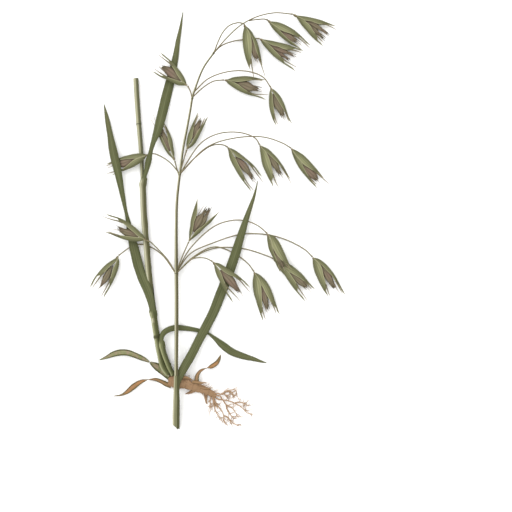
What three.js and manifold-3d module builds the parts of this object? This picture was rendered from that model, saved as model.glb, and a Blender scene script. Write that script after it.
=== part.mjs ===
// Wild oat plant, lifted with its roots and laid flat. Millimetres, +Z up.
// Y runs up the plant as it lies, X to the right, and its lowest points rest on z = 0.
import * as THREE from 'three';
import { mergeVertices } from 'three/addons/utils/BufferGeometryUtils.js';
import Module from 'manifold-3d';

const wasm = await Module();
wasm.setup();

// Driving dimensions
const clearance = 0.3; // between pieces that touch
const bladeThickness = 0.7;
const glumeThickness = 0.62;
const stalkRadius = 0.45; // hair-thin stalks of the panicle
const stalkFlare = 0.13; // added to that radius at both ends
const stalkGap = 0.6; // from a stalk's middle to the foot of its spikelet
const culmFacets = 8;
const stalkFacets = 4;
const bladeFold = 0.12; // slope from midrib to edge
const bladeStations = 1.5; // per row of its line
const sheathStations = 2;
const stalkStations = 1.4;
const socketRows = 3; // of a blade's line, that its socket in the crown follows
const rootRadius = 0.75;
const rootTip = 0.38;

// Spikelets: two boat-shaped glumes, one above the other, with the florets between them
const glumeWidth = 5.4; // widest
const glumeRise = 2.55; // keel above or below the middle of the spikelet
const glumeFold = 0.34; // slope from keel to margin
const bodySpread = 2.0; // least sideways offset of a glume where it is widest
const bodyShare = 0.38; // and how far along its length that is
const glumesFoot = [[-0.1, 0, 0, 0.75], [1.2, 0, 0, 1.0], [2.6, 0, 0, 0.7]]; // x, y, z, radius
const restHeight = glumeRise + glumeThickness / 2 + 0.08; // middle of a spikelet that lies on its keel
const floretShare = 0.66; // of the glumes' length
const floretWidth = 2.9;
const floretHeight = 1.5;
const floretStart = 4.4; // from the foot of the spikelet
const floretLean = 0.5; // degrees off the middle of the spikelet, for the longer floret
const secondLean = 6; // and for the shorter one
const secondShare = 0.86; // the shorter floret's length and awn, of the longer one's
const awnFoot = 0.86; // where an awn leaves its floret, as a share of the floret's length
const awnReach = 0.98; // of the glumes' length
const awnRadius = 0.36;

// Shared shape of every glume: share of length, share of width, share of rise
const glumeProfile = [
  [0.00, 0.16, 0.24],
  [0.08, 0.46, 0.54],
  [0.22, 0.86, 0.88],
  [0.40, 1.00, 1.00],
  [0.62, 0.74, 0.80],
  [0.84, 0.30, 0.42],
  [1.00, 0.10, 0.24],
];

// Shared shape of every floret: share of length, share of width
const floretProfile = [
  [0.00, 0.34],
  [0.22, 0.88],
  [0.45, 1.00],
  [0.72, 0.72],
  [1.00, 0.20],
];

// Lines of the plant: x, y, z, then width or radius, then roll in degrees where there is one
const baseCulm = [
  [-36.5, -120.5, 3.2, 1.3],
  [-41.6, -112.6, 3.0, 1.3],
  [-45.4, -94.5, 2.6, 1.3],
  [-47.8, -79.5, 2.5, 1.3],
  [-51.4, -49.5, 2.7, 1.3],
  [-54.0, -19.5, 3.7, 1.3],
  [-55.8, 0.0, 2.9, 1.3],
  [-57.0, 26.0, 2.3, 1.3],
  [-58.2, 50.0, 1.7, 1.6],
  [-60.2, 75.0, 1.95, 1.85],
  [-61.7, 97.0, 1.95, 1.9],
  [-62.3, 108.0, 1.95, 1.9],
];

const floweringCulm = [
  [-32.0, -159.7, 2.7, 1.45],
  [-31.8, -147.0, 3.8, 1.45],
  [-31.5, -135.7, 6.3, 1.45],
  [-31.5, -126.0, 8.0, 1.45],
  [-31.5, -115.0, 8.3, 1.4],
  [-31.5, -102.0, 7.3, 1.4],
  [-31.5, -83.0, 5.7, 1.5],
  [-31.5, -64.5, 4.6, 1.45],
  [-31.5, -42.0, 4.0, 1.4],
  [-31.3, -4.5, 3.4, 1.1],
  [-30.7, 14.2, 3.2, 1.0],
  [-28.5, 34.5, 3.2, 0.9],
  [-26.5, 55.5, 3.2, 0.8],
  [-23.5, 70.5, 3.3, 0.8],
  [-20.6, 85.5, 3.6, 0.8],
  [-19.1, 93.0, 3.8, 0.8],
  [-16.5, 100.5, 3.9, 0.7],
  [-10.5, 115.5, 4.2, 0.65],
  [-2.2, 127.5, 4.4, 0.65],
];

// Sheathed stretches of the two culms, as shares of their lines, with the sheath's outer radius
const lowSheath = { from: 0.1, to: 0.265, radius: 2.3 };
const highSheath = { from: 0.272, to: 0.65, radius: 2.25 };
const flagSheath = { from: 0.0, to: 0.22, radius: 2.4 };

const lowBlade = [
  [-46.8, -85.0, 4.5, 2.6, 0],
  [-48.6, -78.0, 6.1, 3.8, 0],
  [-51.0, -66.5, 6.6, 5.0, -12],
  [-54.8, -54.0, 5.2, 6.4, -22],
  [-59.0, -42.0, 3.2, 7.2, -12],
  [-62.4, -28.0, 2.5, 7.6, 0],
  [-64.8, -17.5, 2.5, 6.6, 0],
  [-67.2, -6.5, 2.3, 4.6, 16],
  [-69.5, 4.0, 2.1, 2.8, 30],
  [-72.4, 18.0, 2.8, 3.9, 10],
  [-75.9, 36.7, 5.9, 6.0, 0],
  [-79.0, 50.0, 5.4, 6.6, 0],
  [-81.7, 63.0, 3.4, 4.8, 0],
  [-84.7, 78.0, 1.6, 3.2, 0],
  [-87.0, 88.5, 0.7, 0.9, 0],
];

const highBlade = [
  [-56.2, 28.0, 3.9, 2.2, 0],
  [-54.0, 36.7, 6.0, 3.6, 0],
  [-52.0, 44.0, 8.2, 4.8, 12],
  [-50.4, 50.5, 8.9, 3.6, 30],
  [-48.6, 58.0, 7.6, 3.8, 10],
  [-45.2, 68.0, 5.9, 6.6, 0],
  [-42.0, 81.0, 3.4, 7.5, 0],
  [-39.3, 93.0, 1.6, 7.6, 0],
  [-35.8, 107.0, 1.3, 6.8, 0],
  [-32.2, 123.0, 1.3, 4.8, 0],
  [-30.0, 137.0, 1.2, 3.3, 0],
  [-28.3, 146.0, 0.9, 2.3, 0],
  [-26.2, 159.7, 0.6, 0.9, 0],
];

const flagBlade = [
  [-30.8, -130.0, 9.8, 2.8, 0],
  [-29.0, -122.0, 9.4, 4.6, 8],
  [-26.2, -115.0, 8.2, 6.2, 10],
  [-21.2, -106.5, 6.4, 6.9, 6],
  [-15.4, -96.0, 4.4, 6.8, 0],
  [-9.6, -85.0, 3.4, 7.1, 0],
  [-3.0, -72.0, 2.4, 7.6, 0],
  [3.0, -57.0, 2.2, 7.7, 0],
  [8.8, -42.0, 2.9, 7.7, 0],
  [14.0, -27.0, 3.5, 7.3, 0],
  [18.6, -12.0, 3.6, 5.9, 0],
  [23.4, 3.0, 3.7, 4.0, 0],
  [28.6, 18.0, 3.4, 2.0, 0],
  [31.3, 29.2, 3.0, 0.9, 0],
];

const archedSheath = [
  [-33.4, -119.6, 3.2, 1.6],
  [-36.0, -114.6, 3.7, 1.75],
  [-38.9, -107.3, 4.6, 1.75],
  [-41.0, -101.0, 5.4, 1.7],
  [-42.5, -93.5, 5.6, 1.6],
];

const archedBlade = [
  [-42.3, -97.0, 6.3, 2.2, 0],
  [-42.7, -92.0, 6.1, 3.0, 0],
  [-41.0, -87.6, 5.3, 4.2, 0],
  [-37.3, -84.9, 3.4, 4.5, 0],
  [-31.5, -83.5, 2.0, 4.4, 0],
  [-24.0, -84.0, 1.5, 4.0, 0],
  [-15.0, -85.4, 1.2, 3.0, 0],
  [-7.5, -87.5, 1.2, 1.9, 20],
  [-2.2, -91.4, 1.6, 3.4, 20],
  [4.5, -97.0, 2.0, 5.4, 0],
  [11.5, -102.0, 1.9, 5.6, 0],
  [20.2, -105.4, 1.5, 4.8, 0],
  [27.7, -107.5, 1.0, 3.4, 0],
  [33.7, -109.4, 0.8, 1.8, 0],
  [38.2, -110.6, 0.6, 0.9, 0],
];

const leftBlade = [
  [-36.2, -122.6, 1.2, 3.4, 0],
  [-40.6, -118.4, 0.9, 5.0, 0],
  [-45.0, -114.3, 0.9, 6.2, 0],
  [-49.5, -111.2, 1.1, 3.8, 0],
  [-53.2, -109.8, 1.4, 2.0, 24],
  [-57.7, -107.4, 2.0, 3.4, 0],
  [-63.0, -104.6, 2.8, 4.2, 0],
  [-68.6, -102.8, 3.0, 4.8, 0],
  [-74.2, -102.6, 2.6, 5.0, 0],
  [-80.2, -104.0, 1.8, 4.0, 0],
  [-84.7, -106.1, 1.1, 2.5, 0],
  [-90.7, -108.4, 0.6, 0.9, 0],
];

const dryBlade = [
  [-35.2, -128.4, 1.2, 3.4, 0],
  [-39.0, -127.0, 1.0, 3.6, 0],
  [-42.7, -125.0, 1.0, 3.0, 0],
  [-47.0, -123.3, 1.2, 2.2, 0],
  [-51.7, -123.1, 1.8, 1.5, 24],
  [-56.5, -124.0, 2.0, 2.4, 10],
  [-60.5, -126.0, 1.8, 3.4, 0],
  [-64.5, -129.0, 1.5, 4.2, 0],
  [-69.0, -132.7, 1.1, 3.0, 0],
  [-73.5, -135.2, 0.8, 1.4, 0],
  [-79.5, -136.1, 0.6, 0.9, 0],
];

const stubBlade = [
  [-15.6, -126.4, 3.6, 3.8, 0],
  [-15.3, -120.6, 4.0, 3.2, 0],
  [-13.0, -116.8, 3.2, 2.2, 0],
  [-9.0, -114.8, 2.4, 1.2, 30],
  [-4.5, -113.4, 1.8, 3.4, 0],
  [-0.2, -110.4, 1.3, 3.2, 0],
  [1.8, -107.0, 0.9, 2.0, 0],
  [2.7, -104.2, 0.6, 0.9, 0],
];

// Crown: x, y, half width, height; its underside is flat and lies on z = 0
const rhizome = [
  [-37.4, -123.6, 3.2, 4.0],
  [-33.0, -124.2, 5.0, 5.0],
  [-27.0, -125.6, 4.2, 4.8],
  [-20.0, -127.9, 3.4, 4.6],
  [-13.5, -129.9, 3.2, 4.4],
  [-8.0, -132.0, 2.7, 4.0],
  [-3.6, -134.4, 2.3, 3.4],
  [-0.6, -136.2, 1.1, 2.4],
];

// A scale to the left, the broken spur below and a scale above, as tapering rods: x, y, z and radius
const scalesAndSpur = [
  [[-16.0, -130.8, 1.8, 1.5], [-20.5, -133.2, 1.1, 1.1], [-24.4, -134.4, 0.6, 0.4]],
  [[-8.6, -132.4, 1.8, 1.7], [-8.6, -137.0, 1.3, 1.2], [-8.2, -142.0, 0.6, 0.4]],
  [[-28.0, -122.6, 3.2, 1.8], [-23.0, -122.0, 3.0, 1.2], [-19.0, -123.6, 2.8, 0.4]],
];

// Roots and their twigs: x, y, z from where each one leaves the crown or another root
const roots = [
  [[-3.5, -133.8, 2.0], [0.0, -133.7, 2.2], [3.2, -134.6, 1.8], [6.6, -132.4, 1.4],
    [10.5, -131.4, 1.0], [13.5, -131.2, 0.8], [15.2, -134.0, 0.5]],
  [[7.2, -132.4, 1.2], [9.8, -132.4, 0.9], [12.9, -135.2, 0.5]],
  [[3.4, -134.4, 1.6], [5.4, -134.6, 1.0], [7.6, -136.0, 0.5]],
  [[-2.0, -135.2, 2.0], [2.6, -136.2, 2.4], [4.3, -138.6, 2.0], [8.0, -139.4, 1.6],
    [14.2, -141.8, 1.2], [19.0, -145.0, 1.0], [23.6, -149.2, 0.8], [27.8, -150.6, 0.5]],
  [[13.6, -141.6, 1.2], [16.5, -140.8, 1.2], [20.4, -141.5, 0.8], [24.2, -144.0, 0.5]],
  [[-2.4, -136.6, 1.6], [1.0, -138.6, 1.3], [4.4, -139.2, 1.0], [6.8, -142.6, 0.9],
    [10.6, -144.4, 0.8], [13.6, -148.0, 0.7], [15.8, -152.0, 0.5]],
  [[6.6, -142.2, 0.9], [7.9, -147.0, 0.9], [10.5, -150.8, 0.6], [13.6, -153.2, 0.5]],
  [[-3.4, -136.0, 1.2], [-1.5, -141.0, 1.0], [1.6, -145.0, 0.9], [4.6, -149.4, 0.9],
    [5.2, -154.0, 0.7], [5.9, -157.2, 0.5]],
  [[4.9, -151.0, 0.8], [8.2, -152.6, 0.7], [10.0, -155.0, 0.6], [16.5, -159.2, 0.5]],
  [[-3.0, -136.4, 0.9], [-1.0, -141.4, 0.6], [0.6, -145.8, 0.5]],
  [[-3.6, -136.4, 0.9], [-2.2, -143.6, 0.7], [-0.6, -149.0, 0.6], [3.2, -154.4, 0.5]],
  [[-4.8, -136.0, 1.0], [-5.4, -141.0, 0.7], [-4.8, -146.6, 0.5]],
];

// Spikelets: foot x and y, heading in degrees from +X, opening angle between the glume tips, lengths of
// the glumes on the left and on the right of that heading, which of them is on top, height, and pitch.
const spikelets = [
  { foot: [21.0, 148.9], heading: -74, opening: 17, lengths: [33.5, 33.0], upper: 'right', height: 4.3 },
  { foot: [58.5, 156.8], heading: -30, opening: 32, lengths: [31.5, 31.0], upper: 'left' },
  { foot: [39.0, 152.3], heading: -40, opening: 13, lengths: [35.0, 29.0], upper: 'left' },
  { foot: [33.0, 138.0], heading: -29, opening: 25, lengths: [32.5, 33.0], upper: 'left' },
  { foot: [6.0, 106.5], heading: -11, opening: 27, lengths: [30.0, 33.0], upper: 'left' },
  { foot: [41.3, 100.5], heading: -70, opening: 22, lengths: [31.0, 28.0], upper: 'right' },
  { foot: [-22.9, 102.0], heading: 145, opening: 31, lengths: [28.8, 27.4], upper: 'right', height: 5.6 },
  { foot: [-23.0, 53.6], heading: 65, opening: 19, lengths: [27.3, 29.1], upper: 'left' },
  { foot: [-52.9, 48.8], heading: 198, opening: 16, lengths: [34.4, 33.0],
    upper: 'left', height: 6.9, pitch: -10 },
  { foot: [-32.6, 45.0], heading: 112, opening: 15, lengths: [30.0, 29.8],
    upper: 'right', height: 3.5, pitch: -2 },
  { foot: [8.3, 54.8], heading: -51, opening: 22, lengths: [32.7, 36.2],
    upper: 'left', height: 3.6, pitch: -2 },
  { foot: [33.0, 56.3], heading: -60, opening: 24, lengths: [33.4, 32.4], upper: 'right' },
  { foot: [57.0, 54.0], heading: -49, opening: 17, lengths: [34.0, 29.2], upper: 'left' },
  { foot: [-21.4, -16.9], heading: 61, opening: 33, lengths: [31.8, 31.3], upper: 'left' },
  { foot: [-54.0, -16.1], heading: 158, opening: 23, lengths: [30.5, 34.9],
    upper: 'right', height: 8.6, pitch: -4 },
  { foot: [-75.8, -28.5], heading: 238, opening: 24, lengths: [31.0, 32.0], upper: 'left' },
  { foot: [-3.0, -33.0], heading: -49, opening: 31, lengths: [31.1, 32.0], upper: 'right', height: 6.5 },
  { foot: [28.5, -40.9], heading: -70, opening: 18, lengths: [37.4, 38.1], upper: 'right' },
  { foot: [38.6, -11.6], heading: -63, opening: 15, lengths: [32.4, 30.3],
    upper: 'left', height: 8.6, pitch: -1 },
  { foot: [43.5, -30.8], heading: -45, opening: 18, lengths: [38.7, 37.6], upper: 'right' },
  { foot: [73.5, -29.6], heading: -59, opening: 19, lengths: [34.5, 29.0], upper: 'right' },
];

// Stalks of the panicle: the spikelet each one carries, its hump above a straight run, and its way from
// the axis, or from another stalk, as x, y points; a third number is a height of its own.
const stalks = [
  { carries: 1, hump: 3, way: [
    [-2.2, 127.5, 4.4], [1.0, 135.5], [5.0, 143.0], [10.0, 147.8], [16.5, 149.9],
  ] },
  { carries: 2, hump: 5, way: [
    [-2.2, 127.5, 4.4], [8.0, 138.5], [18.2, 147.5], [30.5, 154.0], [44.0, 157.4],
  ] },
  { carries: 3, hump: 1, way: [[24.4, 151.1, 8.5], [31.0, 152.2, 7.0], [36.0, 152.8]] },
  { carries: 4, hump: 0, way: [
    [-2.2, 127.5, 4.4], [3.5, 132.7], [12.7, 136.6, 1.8], [21.0, 138.0, 0.7],
    [28.0, 138.6, 1.3],
  ] },
  { carries: 5, hump: 1, way: [[-19.1, 93.0, 3.8], [-9.8, 101.2], [-2.2, 105.6]] },
  { carries: 6, hump: 8, way: [
    [-17.5, 97.5, 3.8], [-6.0, 107.0], [9.7, 111.9], [24.0, 111.9], [35.3, 108.0],
  ] },
  { carries: 7, hump: 0, way: [[-19.1, 93.0, 3.8], [-20.3, 97.6]] },
  { carries: 8, hump: 1, way: [[-28.5, 34.5, 3.2], [-25.6, 45.0]] },
  { carries: 9, hump: 1, way: [
    [-28.5, 34.5, 3.2], [-35.8, 43.0], [-44.2, 48.4], [-49.0, 49.8],
  ] },
  { carries: 10, hump: 0, way: [[-29.0, 33.0, 3.2], [-31.2, 40.0]] },
  { carries: 11, hump: 3, way: [[-28.5, 34.5, 3.2], [-18.0, 45.6], [-4.2, 55.9], [4.5, 56.6]] },
  { carries: 12, hump: 4, way: [
    [-28.5, 34.5, 3.2], [-12.0, 58.1], [2.0, 65.2], [18.7, 65.7], [29.4, 61.6],
  ] },
  { carries: 13, hump: 6, way: [
    [-28.5, 34.5, 3.2], [-7.5, 54.7], [12.7, 61.3], [35.2, 62.3], [50.2, 57.8],
  ] },
  { carries: 14, hump: 1, way: [[-31.5, -42.0, 4.0], [-26.7, -29.2]] },
  { carries: 15, hump: 2, way: [
    [-31.5, -42.0, 4.0], [-37.5, -31.5], [-46.0, -22.0], [-51.0, -17.4],
  ] },
  { carries: 16, hump: 0, way: [
    [-31.5, -42.0, 4.0], [-41.7, -28.0, 1.8], [-51.5, -21.3, 0.65], [-60.0, -19.5, 0.7],
    [-67.0, -21.9, 1.3],
  ] },
  { carries: 17, hump: 3, way: [[-31.5, -42.0, 4.0], [-18.8, -30.7], [-9.0, -30.0]] },
  { carries: 18, hump: -2.2, way: [
    [-31.5, -42.0, 4.0], [-18.0, -29.0], [-2.2, -21.4], [11.2, -25.3], [23.6, -34.1],
  ] },
  { carries: 19, hump: 0, way: [
    [-31.5, -42.0, 4.0], [-21.0, -23.2, 3.2], [-2.2, -5.7, 2.2], [11.2, -1.1, 1.7],
    [22.0, -1.4, 1.9], [31.4, -5.2, 5.0],
  ] },
  { carries: 20, hump: -2.2, way: [
    [-31.5, -42.0, 4.0], [-17.2, -29.2], [-2.2, -22.5], [20.2, -22.8], [38.6, -28.4],
  ] },
  { carries: 21, hump: -2.4, way: [
    [-31.5, -42.0, 4.0], [-21.0, -27.0], [-2.2, -18.0], [20.2, -11.5], [45.4, -13.4],
    [66.6, -22.9],
  ] },
];

// Colours and finish
const finishes = {
  culm: { color: 0x9a9a6e, roughness: 0.55 },
  blade: { color: 0x6f7d4a, roughness: 0.62 },
  basalBlade: { color: 0x968f70, roughness: 0.7 },
  dryBlade: { color: 0xb98a5c, roughness: 0.8 },
  crown: { color: 0xa67f5e, roughness: 0.88 },
  glumes: { color: 0x7f8659, roughness: 0.6 },
  florets: { color: 0x7a675c, roughness: 0.7 },
};

const up = new THREE.Vector3(0, 0, 1);
const plant = new THREE.Group();
plant.name = 'wild_oat_plant';

// Even stations along a line of rows, between two shares of it
function stationsAlong(rows, perRow, from = 0, to = 1) {
  const line = new THREE.CatmullRomCurve3(rows.map(([x, y, z]) => new THREE.Vector3(x, y, z)));
  const spans = rows.length - 1;
  const count = Math.max(1, Math.round(spans * perRow * (to - from)));
  const stations = [];
  for (let i = 0; i <= count; i++) {
    const share = THREE.MathUtils.lerp(from, to, i / count);
    const span = Math.min(Math.floor(share * spans), spans - 1);
    const mix = share * spans - span;
    const blend = (column) => (
      THREE.MathUtils.lerp(rows[span][column] ?? 0, rows[span + 1][column] ?? 0, mix)
    );
    stations.push({
      point: line.getPoint(share),
      tangent: line.getTangent(share),
      size: blend(3),
      roll: blend(4),
    });
  }
  return stations;
}

function frameAt({ tangent, roll }) {
  const side = new THREE.Vector3().crossVectors(tangent, up).normalize();
  const normal = new THREE.Vector3().crossVectors(side, tangent).normalize();
  const angle = THREE.MathUtils.degToRad(roll);
  return { side: side.applyAxisAngle(tangent, angle), normal: normal.applyAxisAngle(tangent, angle) };
}

function toGeometry(points, faces) {
  const geometry = new THREE.BufferGeometry();
  geometry.setAttribute('position', new THREE.Float32BufferAttribute(points.flatMap((p) => p.toArray()), 3));
  geometry.setIndex(faces.flat());
  return geometry;
}

// Thin folded blade: left edge, midrib and right edge at every station, triangulated alike on both faces
function blade(stations, thickness, fold) {
  const columns = [-1, 0, 1];
  const wide = columns.length;
  const points = [];
  for (const level of [0.5, -0.5]) {
    for (const station of stations) {
      const { side, normal } = frameAt(station);
      for (const column of columns) {
        const reach = (column * station.size) / 2;
        const lift = level * thickness - fold * Math.abs(reach);
        points.push(station.point.clone().addScaledVector(side, reach).addScaledVector(normal, lift));
      }
    }
  }
  const top = (i, j) => i * wide + j;
  const bottom = (i, j) => (stations.length + i) * wide + j;
  const faces = [];
  const quad = (a, b, c, d) => faces.push([a, b, c], [a, c, d]);
  for (let i = 0; i + 1 < stations.length; i++) {
    for (let j = 0; j + 1 < wide; j++) {
      quad(top(i, j), top(i, j + 1), top(i + 1, j + 1), top(i + 1, j));
      faces.push([bottom(i, j), bottom(i + 1, j + 1), bottom(i, j + 1)]);
      faces.push([bottom(i, j), bottom(i + 1, j), bottom(i + 1, j + 1)]);
    }
    quad(top(i, 0), top(i + 1, 0), bottom(i + 1, 0), bottom(i, 0));
    quad(top(i, wide - 1), bottom(i, wide - 1), bottom(i + 1, wide - 1), top(i + 1, wide - 1));
  }
  const end = stations.length - 1;
  for (let j = 0; j + 1 < wide; j++) {
    quad(top(0, j), bottom(0, j), bottom(0, j + 1), top(0, j + 1));
    quad(top(end, j), top(end, j + 1), bottom(end, j + 1), bottom(end, j));
  }
  return toGeometry(points, faces);
}

// Solid rod of a faceted round section, with the station's size as its radius
function rod(stations, facets, { grow = 0, flatten = 1 } = {}) {
  const points = [];
  for (const station of stations) {
    const { side, normal } = frameAt(station);
    for (let k = 0; k < facets; k++) {
      const angle = ((k + 0.5) / facets) * 2 * Math.PI;
      const radius = station.size + grow;
      points.push(station.point.clone().addScaledVector(side, radius * Math.cos(angle))
        .addScaledVector(normal, radius * flatten * Math.sin(angle)));
    }
  }
  return toGeometry(points, ringFaces(stations.length, facets));
}

function ringFaces(rings, facets) {
  const faces = [];
  for (let i = 0; i + 1 < rings; i++) {
    for (let k = 0; k < facets; k++) {
      const next = (k + 1) % facets;
      const [a, b] = [i * facets + k, i * facets + next];
      faces.push([a, a + facets, b + facets], [a, b + facets, b]);
    }
  }
  const last = (rings - 1) * facets;
  for (let k = 1; k + 1 < facets; k++) faces.push([0, k, k + 1], [last, last + k + 1, last + k]);
  return faces;
}

function toSolid(geometry) {
  const bare = mergeVertices(geometry, 1e-4);
  return new wasm.Manifold(new wasm.Mesh({
    numProp: 3,
    vertProperties: new Float32Array(bare.attributes.position.array),
    triVerts: new Uint32Array(bare.index.array),
  }));
}

function toMeshGeometry(solid) {
  const { vertProperties, triVerts } = solid.getMesh();
  const geometry = new THREE.BufferGeometry();
  geometry.setAttribute('position', new THREE.BufferAttribute(vertProperties, 3));
  geometry.setIndex(new THREE.BufferAttribute(triVerts, 1));
  return geometry;
}

function fuse(geometries) {
  return geometries.map(toSolid).reduce((whole, piece) => whole.add(piece));
}

function addPiece(parent, name, geometry, finish) {
  const mesh = new THREE.Mesh(geometry, new THREE.MeshStandardMaterial({ ...finish, metalness: 0 }));
  mesh.name = name;
  parent.add(mesh);
}

const leafBlade = (rows) => blade(stationsAlong(rows, bladeStations), bladeThickness, bladeFold);

// A leaf that wraps a culm: its sheath is a tube round it, and nothing of it touches the culm
function wrappedLeaf(culmRows, sheath, bladeRows) {
  const stations = stationsAlong(culmRows, sheathStations, sheath.from, sheath.to);
  const outer = stations.map((station) => ({ ...station, size: sheath.radius }));
  const bore = toSolid(rod(stationsAlong(culmRows, 1), culmFacets, { grow: clearance }));
  return toMeshGeometry(fuse([rod(outer, culmFacets), leafBlade(bladeRows)]).subtract(bore));
}

function crown() {
  const outline = [[-0.5, 0], [0.5, 0], [1, 0.4], [0.8, 0.82], [0.3, 1], [-0.3, 1], [-0.8, 0.82], [-1, 0.4]];
  const stations = stationsAlong(rhizome.map(([x, y, half]) => [x, y, 0, half]), 1);
  const points = stations.flatMap((station, i) => {
    const { side } = frameAt(station);
    const height = rhizome[i][3];
    return outline.map(([across, above]) => (
      station.point.clone().addScaledVector(side, across * station.size).setZ(above * height)
    ));
  });
  const body = toGeometry(points, ringFaces(stations.length, outline.length));
  const growths = scalesAndSpur.map((way) => rod(stationsAlong(way, 1), 6, { flatten: 0.6 }));
  const rootlets = roots.map((way) => {
    const tapered = way.map((place, i) => [
      ...place,
      THREE.MathUtils.lerp(rootRadius, rootTip, i / (way.length - 1)),
    ]);
    return rod(stationsAlong(tapered, 1), stalkFacets);
  });
  return fuse([body, ...growths, ...rootlets]);
}

// Sockets keep the feet of the culm and leaves clear of the crown that they grow from
function socket(rows) {
  return toSolid(rod(stationsAlong(rows, 1), culmFacets, { grow: clearance }));
}

function bladeSocket(rows) {
  const around = 2 * clearance;
  const foot = rows.slice(0, socketRows).map(([x, y, z, width, roll]) => [x, y, z, width + around, roll]);
  return toSolid(blade(stationsAlong(foot, bladeStations), bladeThickness + around, bladeFold));
}

function glume(length, side, level, opening) {
  const slope = Math.tan(THREE.MathUtils.degToRad(opening / 2));
  const bow = Math.max(0, bodySpread - bodyShare * length * slope);
  const rows = glumeProfile.map(([along, wide, rise]) => {
    const x = along * length;
    const y = side * (x * slope + bow * Math.sin(Math.PI * along));
    return [x, y, level * rise * glumeRise, wide * glumeWidth];
  });
  return blade(stationsAlong(rows, 1), glumeThickness, level * glumeFold);
}

function glumes({ lengths, opening, upper }) {
  const leftLevel = upper === 'left' ? 1 : -1;
  return toMeshGeometry(fuse([
    glume(lengths[0], 1, leftLevel, opening),
    glume(lengths[1], -1, -leftLevel, opening),
    rod(stationsAlong(glumesFoot, 1), 6),
  ]));
}

// A floret lies along a line that turns off the spikelet's middle, and its awn carries that line on
function floret(length, reach, angle, width) {
  const slope = Math.tan(THREE.MathUtils.degToRad(angle));
  const onLine = (x) => (x - floretStart) * slope;
  const rows = floretProfile.map(([along, wide]) => {
    const x = floretStart + along * (length - floretStart);
    return [x, onLine(x), 0, (wide * width) / 2];
  });
  const awnStart = length * awnFoot;
  const awn = [[awnStart, onLine(awnStart), 0, awnRadius], [reach, onLine(reach), 0, awnRadius * 0.8]];
  return [
    rod(stationsAlong(rows, 1), 5, { flatten: floretHeight / floretWidth }),
    rod(stationsAlong(awn, 1), 3),
  ];
}

function florets({ lengths, upper }) {
  const length = Math.min(...lengths) * floretShare;
  const reach = Math.min(...lengths) * awnReach;
  const lean = upper === 'left' ? -1 : 1;
  return toMeshGeometry(fuse([
    ...floret(length, reach, floretLean * lean, floretWidth),
    ...floret(length * secondShare, reach * secondShare, secondLean * lean, floretWidth * secondShare),
  ]));
}

function headingVector(spikelet) {
  const heading = THREE.MathUtils.degToRad(spikelet.heading);
  const pitch = THREE.MathUtils.degToRad(spikelet.pitch ?? 0);
  return new THREE.Vector3(
    Math.cos(heading) * Math.cos(pitch),
    Math.sin(heading) * Math.cos(pitch),
    Math.sin(pitch),
  );
}

// A stalk ends just short of the foot of its spikelet, in line with it
function stalk({ carries, hump, way }) {
  const spikelet = spikelets[carries - 1];
  const foot = new THREE.Vector3(...spikelet.foot, spikelet.height ?? restHeight);
  const end = foot.addScaledVector(headingVector(spikelet), -stalkGap);
  const startHeight = way[0][2];
  const rows = way.map(([x, y, height], i) => {
    const share = i / way.length;
    const arched = startHeight + (end.z - startHeight) * share + hump * 4 * share * (1 - share);
    return [x, y, height ?? arched, i === 0 ? stalkRadius + stalkFlare : stalkRadius];
  });
  rows.push([...end.toArray(), stalkRadius + stalkFlare]);
  return rod(stationsAlong(rows, stalkStations), stalkFacets);
}

const culmRod = (rows) => rod(stationsAlong(rows, 1), culmFacets);

const crownSolid = crown()
  .subtract(socket(baseCulm))
  .subtract(socket(archedSheath))
  .subtract(bladeSocket(leftBlade))
  .subtract(bladeSocket(dryBlade))
  .subtract(bladeSocket(stubBlade));
addPiece(plant, 'crown', toMeshGeometry(crownSolid), finishes.crown);
addPiece(plant, 'base_culm', culmRod(baseCulm), finishes.culm);
addPiece(plant, 'leaf_low', wrappedLeaf(baseCulm, lowSheath, lowBlade), finishes.blade);
addPiece(plant, 'leaf_high', wrappedLeaf(baseCulm, highSheath, highBlade), finishes.blade);
const archedLeaf = fuse([culmRod(archedSheath), leafBlade(archedBlade)]);
addPiece(plant, 'leaf_arched', toMeshGeometry(archedLeaf), finishes.blade);
addPiece(plant, 'leaf_left', leafBlade(leftBlade), finishes.basalBlade);
addPiece(plant, 'leaf_dry', leafBlade(dryBlade), finishes.dryBlade);
addPiece(plant, 'leaf_stub', leafBlade(stubBlade), finishes.dryBlade);
addPiece(plant, 'leaf_flag', wrappedLeaf(floweringCulm, flagSheath, flagBlade), finishes.blade);
const panicle = fuse([culmRod(floweringCulm), ...stalks.map(stalk)]);
addPiece(plant, 'flowering_culm', toMeshGeometry(panicle), finishes.culm);

spikelets.forEach((spikelet, index) => {
  const place = new THREE.Group();
  place.position.set(...spikelet.foot, spikelet.height ?? restHeight);
  place.rotation.order = 'ZYX';
  place.rotation.z = THREE.MathUtils.degToRad(spikelet.heading);
  place.rotation.y = THREE.MathUtils.degToRad(-(spikelet.pitch ?? 0));
  const name = `spikelet_${String(index + 1).padStart(2, '0')}`;
  addPiece(place, `${name}_glumes`, glumes(spikelet), finishes.glumes);
  addPiece(place, `${name}_florets`, florets(spikelet), finishes.florets);
  plant.add(place);
});

export default plant;
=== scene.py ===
import math
import bpy
import numpy as np
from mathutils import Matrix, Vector, noise


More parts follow.
